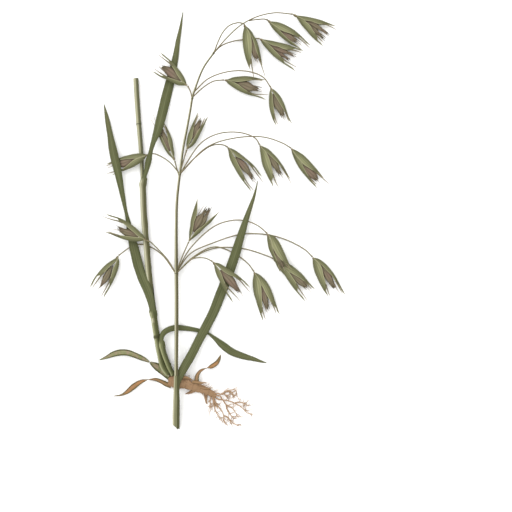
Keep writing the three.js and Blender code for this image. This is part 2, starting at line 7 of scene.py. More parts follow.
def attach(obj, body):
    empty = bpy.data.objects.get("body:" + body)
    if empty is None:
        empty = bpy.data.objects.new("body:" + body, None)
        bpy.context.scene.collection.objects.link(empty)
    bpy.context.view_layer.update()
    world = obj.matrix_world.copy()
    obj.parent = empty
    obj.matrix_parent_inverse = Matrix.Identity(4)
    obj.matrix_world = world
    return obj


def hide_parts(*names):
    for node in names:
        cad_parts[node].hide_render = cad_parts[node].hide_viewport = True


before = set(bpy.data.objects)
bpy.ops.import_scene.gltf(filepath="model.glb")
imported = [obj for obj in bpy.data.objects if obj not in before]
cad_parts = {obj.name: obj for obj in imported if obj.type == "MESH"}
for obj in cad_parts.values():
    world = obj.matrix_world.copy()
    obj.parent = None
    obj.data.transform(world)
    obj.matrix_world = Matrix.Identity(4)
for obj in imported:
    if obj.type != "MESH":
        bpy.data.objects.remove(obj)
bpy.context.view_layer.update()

noise.seed_set(3)  # without it the vector noise is shifted by the clock

# Tables are in millimetres, meshes in metres
mm = 0.001
up = np.array([0.0, 0.0, 1.0])
print("frame loaded:", len(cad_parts), "nodes")


# Lines and stations

def splineAt(rows, shares):
    # centripetal Catmull-Rom through x, y, z; the other columns follow the same knots
    rows = np.asarray(rows, float)
    last = len(rows) - 1
    before = 2 * rows[0] - rows[1]
    after = 2 * rows[-1] - rows[-2]
    padded = np.vstack([before, rows, after])
    place = np.clip(np.asarray(shares) * last, 0, last)
    span = np.minimum(place.astype(int), last - 1)
    mix = (place - span)[:, None]
    p0, p1, p2, p3 = (padded[span + k] for k in range(4))
    d0, d1, d2 = (
        np.maximum(np.linalg.norm((b - a)[:, :3], axis=1), 1e-6)[:, None] ** 0.5
        for a, b in ((p0, p1), (p1, p2), (p2, p3))
    )
    t1 = ((p1 - p0) / d0 - (p2 - p0) / (d0 + d1) + (p2 - p1) / d1) * d1
    t2 = ((p2 - p1) / d1 - (p3 - p1) / (d1 + d2) + (p3 - p2) / d2) * d1
    square = -3 * p1 + 3 * p2 - 2 * t1 - t2
    cube = 2 * p1 - 2 * p2 + t1 + t2
    return p1 + t1 * mix + square * mix**2 + cube * mix**3


def unit(vectors):
    return vectors / np.maximum(np.linalg.norm(vectors, axis=-1, keepdims=True), 1e-12)


def travelled(points):
    # distance from the first point, measured along the line
    return np.concatenate([[0.0], np.cumsum(np.linalg.norm(np.diff(points, axis=0), axis=1))])


def framesOf(points, roll=None):
    tangent = unit(np.gradient(points, axis=0))
    side = unit(np.cross(tangent, up))
    normal = unit(np.cross(side, tangent))
    if roll is None:
        return tangent, side, normal
    turn = np.radians(roll)[:, None]
    rolledSide = side * np.cos(turn) - normal * np.sin(turn)
    rolledNormal = normal * np.cos(turn) + side * np.sin(turn)
    return tangent, rolledSide, rolledNormal


def stationsOf(rows, spacing, start=0.0, end=1.0):
    # even stations along a line, as a dictionary of arrays
    fine = splineAt(rows, np.linspace(start, end, 40 * len(rows)))
    reached = travelled(fine[:, :3])
    count = max(3, int(round(reached[-1] / spacing)) + 1)
    along = np.linspace(0, reached[-1], count)
    columns = [np.interp(along, reached, fine[:, k]) for k in range(fine.shape[1])]
    points = np.stack(columns[:3], axis=1)
    roll = columns[4] if len(columns) > 4 else np.zeros(count)
    tangent, side, normal = framesOf(points, roll)
    return {
        "point": points, "tangent": tangent, "side": side, "normal": normal,
        "size": columns[3], "along": along, "share": along / reached[-1],
    }


def bump(x, centre, width):
    return np.exp(-(((x - centre) / width) ** 2))


def smooth(x, low, high):
    t = np.clip((x - low) / (high - low), 0, 1)
    return t * t * (3 - 2 * t)


def wander(values, seed, scale=1.0):
    # slow smooth noise along an array
    levels = [noise.noise(Vector((v * scale, seed * 7.13, seed * 1.7))) for v in np.ravel(values)]
    return np.reshape(levels, np.shape(values))


# Meshes: a piece is a list of patches, each a grid of rings that close on themselves

def patch(rings, across, along, share, finish=0, caps=(True, True), flank=None, sheath=0.0):
    return {
        "rings": rings, "across": across, "along": along, "share": share, "finish": finish, "caps": caps,
        "flank": across if flank is None else flank, "sheath": sheath,
    }


def tube(stations, radius, sides=12, finish=0, flatten=1.0, caps=(True, True)):
    count = len(stations["point"])
    angle = np.linspace(0, 2 * np.pi, sides, endpoint=False)[None, :]
    radius = np.broadcast_to(np.asarray(radius, float).reshape(count, -1), (count, sides))
    rings = (
        stations["point"][:, None, :]
        + stations["side"][:, None, :] * (radius * np.cos(angle))[..., None]
        + stations["normal"][:, None, :] * (radius * flatten * np.sin(angle))[..., None]
    )
    across = np.linspace(0, 1, sides, endpoint=False)
    # flank runs from 0 on the left side to 1 on the right side; stem finishes paint their highlight and
    # shade by it
    flank = np.broadcast_to(0.5 + 0.5 * np.cos(angle), radius.shape)
    return patch(rings, across, stations["along"], stations["share"], finish, caps, flank)


def thread(points, along, share, radii, sides, finish):
    _, side, normal = framesOf(points)
    stations = {"point": points, "side": side, "normal": normal, "along": along, "share": share}
    return tube(stations, radii, sides, finish)


def cornersOf(values, shape):
    # the values at the four corners of every face between the rings
    values = np.broadcast_to(values, shape)
    ahead = np.roll(values, -1, axis=1)
    return np.stack([values[:-1], ahead[:-1], ahead[1:], values[1:]], axis=-1)


def mapOf(first, second):
    return np.stack([first, second], axis=-1).reshape(-1, 2)


def makePiece(name, patches, materials, nodes):
    verts, faces, finishIndex = [], [], []
    maps = {"surface": [], "reach": [], "flank": []}
    base = 0
    for one in patches:
        rings = one["rings"]
        count, sides = shape = rings.shape[:2]
        verts.append(rings.reshape(-1, 3))
        k = np.arange(sides)
        n = (k + 1) % sides
        for i in range(count - 1):
            a = base + i * sides
            b = a + sides
            faces.extend(np.stack([a + k, a + n, b + n, b + k], axis=1).tolist())
        finishIndex.append(np.full((count - 1) * sides, one["finish"]))

        # the last face of a ring ends at 1, not at the 0 where the ring starts again
        across = cornersOf(one["across"], shape)
        last = across[:, -1]
        for ahead, here in ((1, 0), (2, 3)):
            last[last[:, ahead] < last[:, here] - 0.5, ahead] = 1.0
        along, share = (cornersOf(one[key][:, None], shape) for key in ("along", "share"))
        sheath = np.asarray(one["sheath"], float)
        sheath = cornersOf(sheath[:, None] if sheath.ndim == 1 else sheath, shape)
        maps["surface"].append(mapOf(across, along))
        maps["reach"].append(mapOf(across, share))
        maps["flank"].append(mapOf(cornersOf(one["flank"], shape), sheath))

        extra = 0
        for end, wanted in zip((0, count - 1), one["caps"]):
            if not wanted:
                continue
            centre = base + count * sides + extra
            verts.append(rings[end].mean(axis=0)[None, :])
            ring = base + end * sides
            order = (k, n) if end else (n, k)
            faces.extend([[centre, ring + int(p), ring + int(q)] for p, q in zip(*order)])
            levels = {"surface": one["along"][end], "reach": one["share"][end], "flank": 0.0}
            for label, level in levels.items():
                maps[label].append(np.tile((0.5, level), (3 * sides, 1)))
            finishIndex.append(np.full(sides, one["finish"]))
            extra += 1
        base += count * sides + extra
    mesh = bpy.data.meshes.new(name)
    mesh.from_pydata((np.vstack(verts) * mm).tolist(), [], faces)
    for label, store in maps.items():
        layer = mesh.uv_layers.new(name=label)
        layer.data.foreach_set("uv", np.vstack(store).ravel())
    mesh.polygons.foreach_set("material_index", np.concatenate(finishIndex).astype(int))
    mesh.polygons.foreach_set("use_smooth", np.ones(len(mesh.polygons), bool))
    mesh.update()
    piece = bpy.data.objects.new(name, mesh)
    bpy.context.scene.collection.objects.link(piece)
    for material in materials:
        mesh.materials.append(material)
    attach(piece, "root")
    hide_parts(*nodes)
    return piece


# Shader node groups

def feed(tree, socket, value):
    # another socket or a constant, into a socket
    if isinstance(value, bpy.types.NodeSocket):
        tree.links.new(value, socket)
    else:
        socket.default_value = value


def addNode(tree, kind, settings=None, **values):
    # values go in by the name of the socket, or by its number as in0, in1
    node = tree.nodes.new(kind)
    for key, value in (settings or {}).items():
        setattr(node, key, value)
    for key, value in values.items():
        feed(tree, node.inputs[int(key[2:]) if key.startswith("in") else key], value)
    return node


def calc(tree, operation, *values, clamp=False):
    given = {f"in{k}": value for k, value in enumerate(values)}
    return addNode(tree, "ShaderNodeMath", {"operation": operation, "use_clamp": clamp}, **given).outputs[0]


def ramp(tree, value, low, high, toLow=0.0, toHigh=1.0):
    settings = {"interpolation_type": "SMOOTHSTEP"}
    ends = {"in1": low, "in2": high, "in3": toLow, "in4": toHigh}
    return addNode(tree, "ShaderNodeMapRange", settings, in0=value, **ends).outputs[0]


def blendColours(tree, share, first, second):
    node = addNode(tree, "ShaderNodeMix", {"data_type": "RGBA"}, in0=share, in6=first, in7=second)
    return node.outputs[2]


def newGroup(name, inputs, outputs):
    tree = bpy.data.node_groups.new(name, "ShaderNodeTree")
    for label, value in inputs.items():
        socket = tree.interface.new_socket(name=label, in_out="INPUT", socket_type="NodeSocketFloat")
        socket.default_value = value
    for label in outputs:
        tree.interface.new_socket(name=label, in_out="OUTPUT", socket_type="NodeSocketFloat")
    return tree, tree.nodes.new("NodeGroupInput").outputs, tree.nodes.new("NodeGroupOutput").inputs


def nerveGroup():
    # lengthwise nerves: a count of lines across the surface that waver a little
    tree, given, out = newGroup(
        "lengthwiseNerves",
        {"Across": 0.5, "Along": 0.0, "Count": 9.0, "Sharpness": 0.5, "Waver": 0.25},
        ["Line", "Height"],
    )
    x = calc(tree, "MULTIPLY", given["Across"], 3.0)
    y = calc(tree, "MULTIPLY", given["Along"], 0.06)
    place = addNode(tree, "ShaderNodeCombineXYZ", in0=x, in1=y).outputs[0]
    drift = addNode(tree, "ShaderNodeTexNoise", Vector=place, Scale=1.0, Detail=1.0).outputs[0]
    line = calc(tree, "MULTIPLY", given["Across"], given["Count"])
    shifted = calc(tree, "MULTIPLY_ADD", calc(tree, "SUBTRACT", drift, 0.5), given["Waver"], line)
    wave = calc(tree, "COSINE", calc(tree, "MULTIPLY", shifted, 2 * math.pi))
    height = calc(tree, "MULTIPLY_ADD", wave, 0.5, 0.5)
    tree.links.new(height, out["Height"])
    tree.links.new(ramp(tree, height, given["Sharpness"], 1.0), out["Line"])
    return tree


def fibreGroup():
    # streaks drawn out along the surface
    tree, given, out = newGroup(
        "drawnOutFibres",
        {"Across": 0.5, "Along": 0.0, "Fineness": 40.0, "Stretch": 0.25, "Contrast": 1.0},
        ["Streak"],
    )
    x = calc(tree, "MULTIPLY", given["Across"], given["Fineness"])
    y = calc(tree, "MULTIPLY", given["Along"], given["Stretch"])
    place = addNode(tree, "ShaderNodeCombineXYZ", in0=x, in1=y).outputs[0]
    grain = addNode(tree, "ShaderNodeTexNoise", Vector=place, Scale=1.0, Detail=3.0, Roughness=0.6)
    centred = calc(tree, "MULTIPLY", calc(tree, "SUBTRACT", grain.outputs[0], 0.5), given["Contrast"])
    tree.links.new(calc(tree, "ADD", centred, 0.5, clamp=True), out["Streak"])
    return tree


def blotchGroup():
    # soft patches that follow the place on the plant, so that no two pieces match
    tree, given, out = newGroup(
        "softBlotches", {"Size": 0.02, "Level": 0.5, "Softness": 0.15}, ["Patch", "Tone"]
    )
    where = tree.nodes.new("ShaderNodeTexCoord").outputs["Object"]
    scale = calc(tree, "DIVIDE", 1.0, given["Size"])
    node = addNode(tree, "ShaderNodeTexNoise", Vector=where, Scale=scale, Detail=3.0, Roughness=0.55)
    tone = node.outputs[0]
    tree.links.new(tone, out["Tone"])
    low = calc(tree, "SUBTRACT", given["Level"], given["Softness"])
    high = calc(tree, "ADD", given["Level"], given["Softness"])
    tree.links.new(ramp(tree, tone, low, high), out["Patch"])
    return tree


def marginGroup():
    # soft bands: along the right margin, along both margins, and down the middle
    tree, given, out = newGroup(
        "marginBands", {"Across": 0.5, "Width": 0.1, "Softness": 0.05}, ["Right", "Both", "Middle"]
    )
    reach = calc(tree, "ADD", given["Width"], given["Softness"])
    left = ramp(tree, given["Across"], given["Width"], reach, 1.0, 0.0)
    right = ramp(tree, calc(tree, "SUBTRACT", 1.0, given["Across"]), given["Width"], reach, 1.0, 0.0)
    offMiddle = calc(tree, "ABSOLUTE", calc(tree, "SUBTRACT", given["Across"], 0.5))
    tree.links.new(right, out["Right"])
    tree.links.new(calc(tree, "MAXIMUM", left, right), out["Both"])
    tree.links.new(ramp(tree, offMiddle, given["Width"], reach, 1.0, 0.0), out["Middle"])
    return tree


def flankLightGroup():
    # painted highlight on the left flank and painted shade on the right flank of a stem, and the rim on
    # both sides of it
    tree, given, out = newGroup(
        "stemLightAndShade",
        {"Flank": 0.5, "HighlightTo": 0.4, "ShadeFrom": 0.6, "Softness": 0.06, "Rim": 0.06},
        ["Highlight", "Shade", "Rim"],
    )
    for label, edge, before, after in (("Highlight", "HighlightTo", 1.0, 0.0), ("Shade", "ShadeFrom", 0.0, 1.0)):
        low = calc(tree, "SUBTRACT", given[edge], given["Softness"])
        high = calc(tree, "ADD", given[edge], given["Softness"])
        tree.links.new(ramp(tree, given["Flank"], low, high, before, after), out[label])
    left = ramp(tree, given["Flank"], 0.0, given["Rim"], 1.0, 0.0)
    right = ramp(tree, calc(tree, "SUBTRACT", 1.0, given["Flank"]), 0.0, given["Rim"], 1.0, 0.0)
    tree.links.new(calc(tree, "MAXIMUM", left, right), out["Rim"])
    return tree


def lineGroup():
    # soft line drawn at a distance from an edge, and the strip between the edge and another distance
    tree, given, out = newGroup(
        "edgeLines",
        {"Distance": 0.0, "At": 1.0, "Width": 0.3, "Strip": 0.5, "Softness": 0.1},
        ["Line", "Strip"],
    )
    away = calc(tree, "ABSOLUTE", calc(tree, "SUBTRACT", given["Distance"], given["At"]))
    tree.links.new(ramp(tree, away, 0.0, given["Width"], 1.0, 0.0), out["Line"])
    far = calc(tree, "ADD", given["Strip"], given["Softness"])
    tree.links.new(ramp(tree, given["Distance"], given["Strip"], far, 1.0, 0.0), out["Strip"])
    return tree


groups = {
    "nerves": nerveGroup(),
    "fibres": fibreGroup(),
    "blotches": blotchGroup(),
    "margins": marginGroup(),
    "flankLight": flankLightGroup(),
    "lines": lineGroup(),
}
print("shader groups:", ", ".join(sorted(groups)))


def linear(red, green, blue, share=0.735):
    # a screen colour, 0 to 255, as Blender's linear values; the share holds it back for the bright light
    screen = np.array([red, green, blue]) / 255
    parts = share * np.where(screen <= 0.04045, screen / 12.92, ((screen + 0.055) / 1.055) ** 2.4)
    return (*parts.tolist(), 1.0)


def startMaterial(name):
    # surface: across, and along in mm; reach: share of the length; flank: side of a stem, and its sheath
    material = bpy.data.materials.new(name)
    material.use_nodes = True
    tree = material.node_tree
    place = {}
    maps = {"surface": ("across", "along"), "reach": ("spare", "share"), "flank": ("flank", "sheath")}
    for label, words in maps.items():
        where = addNode(tree, "ShaderNodeUVMap", {"uv_map": label}).outputs[0]
        place.update(zip(words, addNode(tree, "ShaderNodeSeparateXYZ", in0=where).outputs))
    return material, tree, tree.nodes["Principled BSDF"], place


def layered(tree, colour, layers):
    # each layer: the mask that it shows in, its strength and its colour
    for mask, strength, target in layers:
        colour = blendColours(tree, calc(tree, "MULTIPLY", mask, strength), colour, target)
    return colour


def useGroup(tree, name, **values):
    return addNode(tree, "ShaderNodeGroup", {"node_tree": groups[name]}, **values).outputs


def finishMaterial(tree, shader, colour, height, roughness, relief, depth, gloss=0.5):
    feed(tree, shader.inputs["Base Color"], colour)
    feed(tree, shader.inputs["Roughness"], roughness)
    node = addNode(tree, "ShaderNodeBump", Strength=relief, Distance=depth, Height=height)
    feed(tree, shader.inputs["Normal"], node.outputs[0])
    shader.inputs["Specular IOR Level"].default_value = gloss


def bladeMaterial(name, look):
    # grass blade with fine nerves, and a straw sheath where the leaf wraps its culm, with painted highlight
    # on its left flank and painted shade on its right flank
    material, tree, shader, place = startMaterial(name)
    across, share = place["across"], place["share"]
    grain = {"Across": across, "Along": place["along"]}
    nerves = useGroup(tree, "nerves", **grain, Count=look["nerves"], Sharpness=0.45, Waver=0.35)
    fibres = useGroup(tree, "fibres", **grain, Fineness=34.0, Stretch=0.08, Contrast=1.8)
    bands = useGroup(tree, "fibres", **grain, Fineness=3.0, Stretch=0.02, Contrast=4.0)
    tone = useGroup(tree, "blotches", Size=look["blotch"], Level=0.5, Softness=0.2)
    mottles = useGroup(tree, "blotches", Size=look["mottleSize"], Level=0.53, Softness=0.07)
    margin = useGroup(tree, "margins", Across=across, Width=0.1, Softness=0.2)
    rib = useGroup(tree, "margins", Across=across, Width=0.01, Softness=0.05)
    edge = useGroup(tree, "margins", Across=across, Width=look["edgeWidth"], Softness=0.05)
    sides = {"Flank": place["flank"], "HighlightTo": look["highlightTo"], "ShadeFrom": look["shadeFrom"]}
    flankLight = useGroup(tree, "flankLight", **sides, Rim=0.09)
    colour = blendColours(tree, ramp(tree, share, 0.0, look["footTo"]), look["foot"], look["body"])
    colour = blendColours(tree, ramp(tree, share, look["tipFrom"], look["tipTo"]), colour, look["tip"])
    colour = layered(tree, colour, [
        (tone["Patch"], look["patchShare"], look["patch"]),
        (bands["Streak"], look["bandShare"], look["pale"]),
        (fibres["Streak"], look["streakShare"], look["pale"]),
        (mottles["Patch"], look["mottleShare"], look["mottle"]),
        (nerves["Line"], look["nerveShare"], look["dark"]),
        (rib["Middle"], look["ribShare"], look["pale"]),
        (margin["Right"], look["sideShare"], look["side"]),
        (edge["Both"], look["edgeShare"], look["dark"]),
    ])
    strawLitAndShaded = layered(tree, look["sheath"], [
        (fibres["Streak"], 0.3, look["sheathStreakAndHighlight"]),
        (nerves["Line"], 0.25, look["sheathNerveAndShade"]),
        # painted highlight on the sheath's left flank and painted shade on its right flank
        (flankLight["Highlight"], 0.85, look["sheathStreakAndHighlight"]),
        (flankLight["Shade"], 0.8, look["sheathNerveAndShade"]),
        (flankLight["Rim"], look["rimShare"], look["sheathRim"]),
    ])
    colour = blendColours(tree, ramp(tree, place["sheath"], 0.15, 0.9), colour, strawLitAndShaded)
    colour = layered(tree, colour, [(ramp(tree, place["sheath"], 1.15, 1.7), 0.8, look["joint"])])
    height = calc(tree, "MULTIPLY_ADD", fibres["Streak"], 0.5, nerves["Height"])
    roughness = ramp(tree, fibres["Streak"], 0.2, 0.8, look["roughness"] - 0.07, look["roughness"] + 0.07)
    finishMaterial(tree, shader, colour, height, roughness, 0.3, 0.00008, 0.12)
    return material


def stalkMaterial(name, look):
    # straw-like stalk: striped along, with painted highlight on its left flank, painted shade on its right
    # flank, and darker joints
    material, tree, shader, place = startMaterial(name)
    grain = {"Across": place["across"], "Along": place["along"]}
    nerves = useGroup(tree, "nerves", **grain, Count=look["nerves"], Sharpness=0.3, Waver=0.4)
    fibres = useGroup(tree, "fibres", **grain, Fineness=26.0, Stretch=0.09, Contrast=1.8)
    tone = useGroup(tree, "blotches", Size=look["blotch"], Level=0.5, Softness=0.25)
    sides = {"Flank": place["flank"], "HighlightTo": look["highlightTo"], "ShadeFrom": look["shadeFrom"]}
    flankLight = useGroup(tree, "flankLight", **sides, Rim=0.1)
    colour = layered(tree, look["body"], [
        (fibres["Streak"], 0.3, look["pale"]),
        (nerves["Line"], 0.3, look["dark"]),
        # painted highlight on the left flank and painted shade on the right flank
        (flankLight["Highlight"], look["flankLightShare"], look["pale"]),
        (flankLight["Shade"], look["flankLightShare"], look["dark"]),
        (tone["Patch"], look["patchShare"], look["patch"]),
        (flankLight["Rim"], look["rimShare"], look["rim"]),
        (ramp(tree, place["sheath"], 1.15, 1.7), 0.85, look["joint"]),
    ])
    height = calc(tree, "MULTIPLY_ADD", fibres["Streak"], 0.4, nerves["Height"])
    finishMaterial(tree, shader, colour, height, look["roughness"], 0.3, 0.00006, 0.15)
    return material


def glumeMaterial(name, look):
    # flank and sheath hold the distances from the papery margin and from the keel, in mm
    material, tree, shader, place = startMaterial(name)
    grain = {"Across": place["across"], "Along": place["along"]}
    nerves = useGroup(tree, "nerves", **grain, Count=look["nerves"], Sharpness=0.4, Waver=0.2)
    fibres = useGroup(tree, "fibres", **grain, Fineness=30.0, Stretch=0.1, Contrast=2.0)
    bands = useGroup(tree, "fibres", **grain, Fineness=6.0, Stretch=0.05, Contrast=2.6)
    tone = useGroup(tree, "blotches", Size=0.012, Level=0.5, Softness=0.2)
    margin = useGroup(tree, "lines", Distance=place["flank"], At=look["foldAt"], Width=0.45,
                      Strip=look["paper"], Softness=0.2)
    # painted shade along the keel, where the shell curves down to the floor, rising to a painted highlight
    # towards the inner margin at the top of the shell
    keel = ramp(tree, place["sheath"], 0.1, look["keelTo"])
    colour = blendColours(tree, keel, look["keel"], look["body"])
    colour = layered(tree, colour, [
        (tone["Patch"], 0.3, look["grey"]),
        (ramp(tree, place["sheath"], look["keelTo"], look["highlightFrom"]), 0.75, look["pale"]),
        (bands["Streak"], look["lightShare"], look["pale"]),
        (nerves["Line"], 0.4, look["nerve"]),
        # painted shadow of the papery margin: a dark line a little way in from it
        (margin["Line"], look["foldShare"], look["keel"]),
        (ramp(tree, place["share"], 0.72, 1.0), 0.7, look["tip"]),
        (margin["Strip"], 0.8, look["margin"]),
    ])
    height = calc(tree, "MULTIPLY_ADD", fibres["Streak"], 0.4, nerves["Height"])
    finishMaterial(tree, shader, colour, height, 0.58, 0.3, 0.00006, 0.1)
    return material


def floretMaterial(name, look):
    # nerved husk with painted shade along both of its edges, and dark teeth
    material, tree, shader, place = startMaterial(name)
    grain = {"Across": place["across"], "Along": place["along"]}
    nerves = useGroup(tree, "nerves", **grain, Count=look["nerves"], Sharpness=0.4, Waver=0.3)
    fibres = useGroup(tree, "fibres", **grain, Fineness=22.0, Stretch=0.15, Contrast=2.0)
    tone = useGroup(tree, "blotches", Size=0.009, Level=0.5, Softness=0.2)
    flankLight = useGroup(tree, "flankLight", Flank=place["flank"], Rim=look["outline"])
    colour = layered(tree, look["body"], [
        (tone["Patch"], 0.9, look["mauve"]),
        (fibres["Streak"], 0.4, look["pale"]),
        (nerves["Line"], 0.45, look["dark"]),
        # painted shade along both edges of the husk
        (flankLight["Rim"], 0.85, look["dark"]),
        (ramp(tree, place["share"], 0.6, 1.0), 0.8, look["dark"]),
    ])
    height = calc(tree, "MULTIPLY_ADD", fibres["Streak"], 0.6, nerves["Height"])
    finishMaterial(tree, shader, colour, height, 0.68, 0.4, 0.00008, 0.2)
    return material


def fineMaterial(name, foot, tip, roughness):
    # awns, bristles, root hairs and other threads: one tone that fades to another
    material, tree, shader, place = startMaterial(name)
    grain = {"Across": place["across"], "Along": place["along"]}
    fibres = useGroup(tree, "fibres", **grain, Fineness=6.0, Stretch=0.6, Contrast=1.6)
    colour = blendColours(tree, ramp(tree, place["share"], 0.0, 1.0), foot, tip)
    colour = layered(tree, colour, [(fibres["Streak"], 0.35, tip)])
    finishMaterial(tree, shader, colour, fibres["Streak"], roughness, 0.3, 0.00005)
    return material


def woodMaterial(name, look):
    # rhizome: fibrous bark, wrinkled along, with a few dark joints and earthy hollows
    material, tree, shader, place = startMaterial(name)
    grain = {"Across": place["across"], "Along": place["along"]}
    fibres = useGroup(tree, "fibres", **grain, Fineness=30.0, Stretch=0.22, Contrast=2.2)
    bands = useGroup(tree, "fibres", **grain, Fineness=7.0, Stretch=0.1, Contrast=2.2)
    soil = useGroup(tree, "blotches", Size=0.005, Level=0.6, Softness=0.1)
    tone = useGroup(tree, "blotches", Size=0.018, Level=0.5, Softness=0.2)
    colour = layered(tree, look["body"], [
        (tone["Patch"], 0.9, look["warm"]),
        (bands["Streak"], 0.5, look["grey"]),
        (fibres["Streak"], 0.4, look["pale"]),
        (soil["Patch"], 0.5, look["dark"]),
        (ramp(tree, place["sheath"], 0.1, 1.0), 0.25, look["dark"]),
    ])
    height = calc(tree, "ADD", fibres["Streak"], soil["Tone"])
    finishMaterial(tree, shader, colour, height, 0.85, 0.6, 0.0002, 0.15)
    return material


bladeLook = {
    "foot": linear(94, 98, 62), "body": linear(84, 90, 55), "tip": linear(96, 95, 62),
    "patch": linear(88, 87, 56), "pale": linear(128, 132, 94), "dark": linear(64, 69, 39),
    "mottle": linear(118, 116, 80), "mottleSize": 0.004, "mottleShare": 0.15,
    "side": linear(84, 88, 56), "sideShare": 0.2,
    "patchShare": 0.4, "bandShare": 0.42, "streakShare": 0.25, "nerveShare": 0.3, "ribShare": 0.2,
    "edgeShare": 0.7, "edgeWidth": 0.035, "nerves": 5.0, "blotch": 0.03,
    "footTo": 0.5, "tipFrom": 0.7, "tipTo": 1.0, "roughness": 0.6,
    # the sheath's pale and dark colours paint its streaks and nerves, and also the highlight on its left
    # flank and the shade on its right flank
    "sheath": linear(118, 114, 82), "sheathStreakAndHighlight": linear(208, 206, 176), "sheathNerveAndShade": linear(80, 80, 47),
    "sheathRim": linear(96, 94, 62), "rimShare": 0.25, "joint": linear(66, 66, 40),
    "highlightTo": 0.34, "shadeFrom": 0.58,
}
lowLook = dict(
    bladeLook, sheath=linear(108, 110, 72), sheathStreakAndHighlight=linear(172, 174, 134), sheathNerveAndShade=linear(74, 78, 44),
    highlightTo=0.28, shadeFrom=0.5,
)
flagLook = dict(
    bladeLook, sheath=linear(114, 114, 78), sheathStreakAndHighlight=linear(204, 200, 168), sheathNerveAndShade=linear(70, 72, 40),
    sheathRim=linear(116, 108, 82), rimShare=0.35, highlightTo=0.22, shadeFrom=0.64,
)
archedLook = dict(
    bladeLook, sheath=linear(104, 108, 70), sheathStreakAndHighlight=linear(166, 168, 124), sheathNerveAndShade=linear(78, 80, 50),
    highlightTo=0.3, shadeFrom=0.6,
)
agedLook = dict(
    bladeLook, foot=linear(94, 92, 60), body=linear(138, 138, 98), tip=linear(128, 126, 86),
    patch=linear(104, 112, 54), pale=linear(190, 188, 148), dark=linear(70, 74, 36),
    mottle=linear(168, 148, 126), mottleSize=0.0026, mottleShare=0.85,
    side=linear(96, 104, 50), sideShare=0.6, patchShare=1.0, bandShare=0.35, edgeShare=0.95, edgeWidth=0.15,
    nerves=4.0, blotch=0.004,
    footTo=0.42, roughness=0.7,
)
dryLook = dict(
    bladeLook, foot=linear(132, 112, 84), body=linear(184, 130, 84), tip=linear(84, 82, 44),
    patch=linear(150, 112, 82), pale=linear(200, 160, 118), dark=linear(88, 80, 44),
    mottle=linear(146, 120, 90), mottleSize=0.004, mottleShare=0.4,
    side=linear(112, 104, 44), sideShare=0.85, patchShare=0.5, bandShare=0.35,
    edgeShare=0.95, edgeWidth=0.15, nerves=5.0, blotch=0.009,
    footTo=0.6, tipFrom=0.78, tipTo=0.84, roughness=0.78,
)
# a stalk's pale and dark colours paint its streaks and nerves, and also the highlight on its left flank and
# the shade on its right flank
stalkLook = {
    "body": linear(132, 130, 98), "pale": linear(190, 188, 156), "patch": linear(118, 116, 82),
    "dark": linear(92, 94, 68), "joint": linear(62, 58, 38), "patchShare": 0.22, "flankLightShare": 0.9,
    "rim": linear(92, 92, 64), "rimShare": 0.3,
    "highlightTo": 0.44, "shadeFrom": 0.58, "nerves": 16.0, "blotch": 0.03, "roughness": 0.55,
}
axisLook = dict(
    stalkLook, body=linear(126, 120, 88), pale=linear(202, 200, 170), patch=linear(140, 126, 98),
    dark=linear(84, 82, 54), rim=linear(138, 134, 104), rimShare=0.5, highlightTo=0.36, shadeFrom=0.5, nerves=8.0,
)
panicleLook = dict(
    stalkLook, body=linear(122, 114, 84), pale=linear(170, 164, 128), patch=linear(136, 112, 88),
    dark=linear(90, 84, 58), patchShare=0.45, flankLightShare=0.7, nerves=8.0, blotch=0.016,
)
# the keel colour is painted shade along the outer edge and in a shadow line inside the papery margin; the
# pale colour also paints the highlight by the inner margin
glumeLook = {
    "body": linear(120, 121, 86), "grey": linear(112, 110, 84), "pale": linear(172, 172, 130),
    "keel": linear(70, 72, 42), "nerve": linear(84, 86, 54), "margin": linear(172, 168, 134),
    "tip": linear(110, 102, 70), "nerves": 9.0, "paper": 0.35, "foldAt": 1.0, "foldShare": 0.3,
    "keelTo": 2.3, "highlightFrom": 4.4, "lightShare": 0.4,
}
floretLook = {
    "body": linear(121, 114, 88), "mauve": linear(130, 104, 92), "pale": linear(158, 146, 122),
    "dark": linear(80, 74, 50), "nerves": 8.0, "outline": 0.12,
}
crownLook = {
    "body": linear(160, 126, 92), "warm": linear(174, 132, 100), "pale": linear(194, 164, 130),
    "grey": linear(140, 114, 88), "dark": linear(104, 80, 58),
}
scaleLook = dict(
    dryLook, foot=linear(144, 112, 82), body=linear(166, 132, 98), tip=linear(190, 162, 128),
    patch=linear(138, 108, 82), footTo=0.7, tipFrom=0.7, tipTo=1.0, sideShare=0.1, edgeShare=0.4,
)

finishes = {
    "blade": bladeMaterial("grassBlade", bladeLook),
    "lowBlade": bladeMaterial("lowBlade", lowLook),
    "flagBlade": bladeMaterial("flagBlade", flagLook),
    "archedBlade": bladeMaterial("archedBlade", archedLook),
    "agedBlade": bladeMaterial("agedBlade", agedLook),
    "dryBlade": bladeMaterial("dryBlade", dryLook),
    "culm": stalkMaterial("strawCulm", stalkLook),
    "axis": stalkMaterial("panicleAxis", axisLook),
    "panicle": stalkMaterial("panicleStalk", panicleLook),
    "glume": glumeMaterial("paperyGlume", glumeLook),
    "floret": floretMaterial("brownFloret", floretLook),
    "bristle": fineMaterial("glumeBristle", linear(98, 95, 64), linear(150, 134, 104), 0.7),
    "awn": fineMaterial("paleAwn", linear(124, 108, 84), linear(188, 168, 146), 0.7),
    "wood": woodMaterial("crownWood", crownLook),
    "scale": bladeMaterial("paperyScale", scaleLook),
    "rootFibre": fineMaterial("rootFibre", linear(168, 134, 102), linear(196, 164, 130), 0.85),
}
print("materials:", len(finishes))


# Leaves: a sheath, where there is one, that opens into its blade

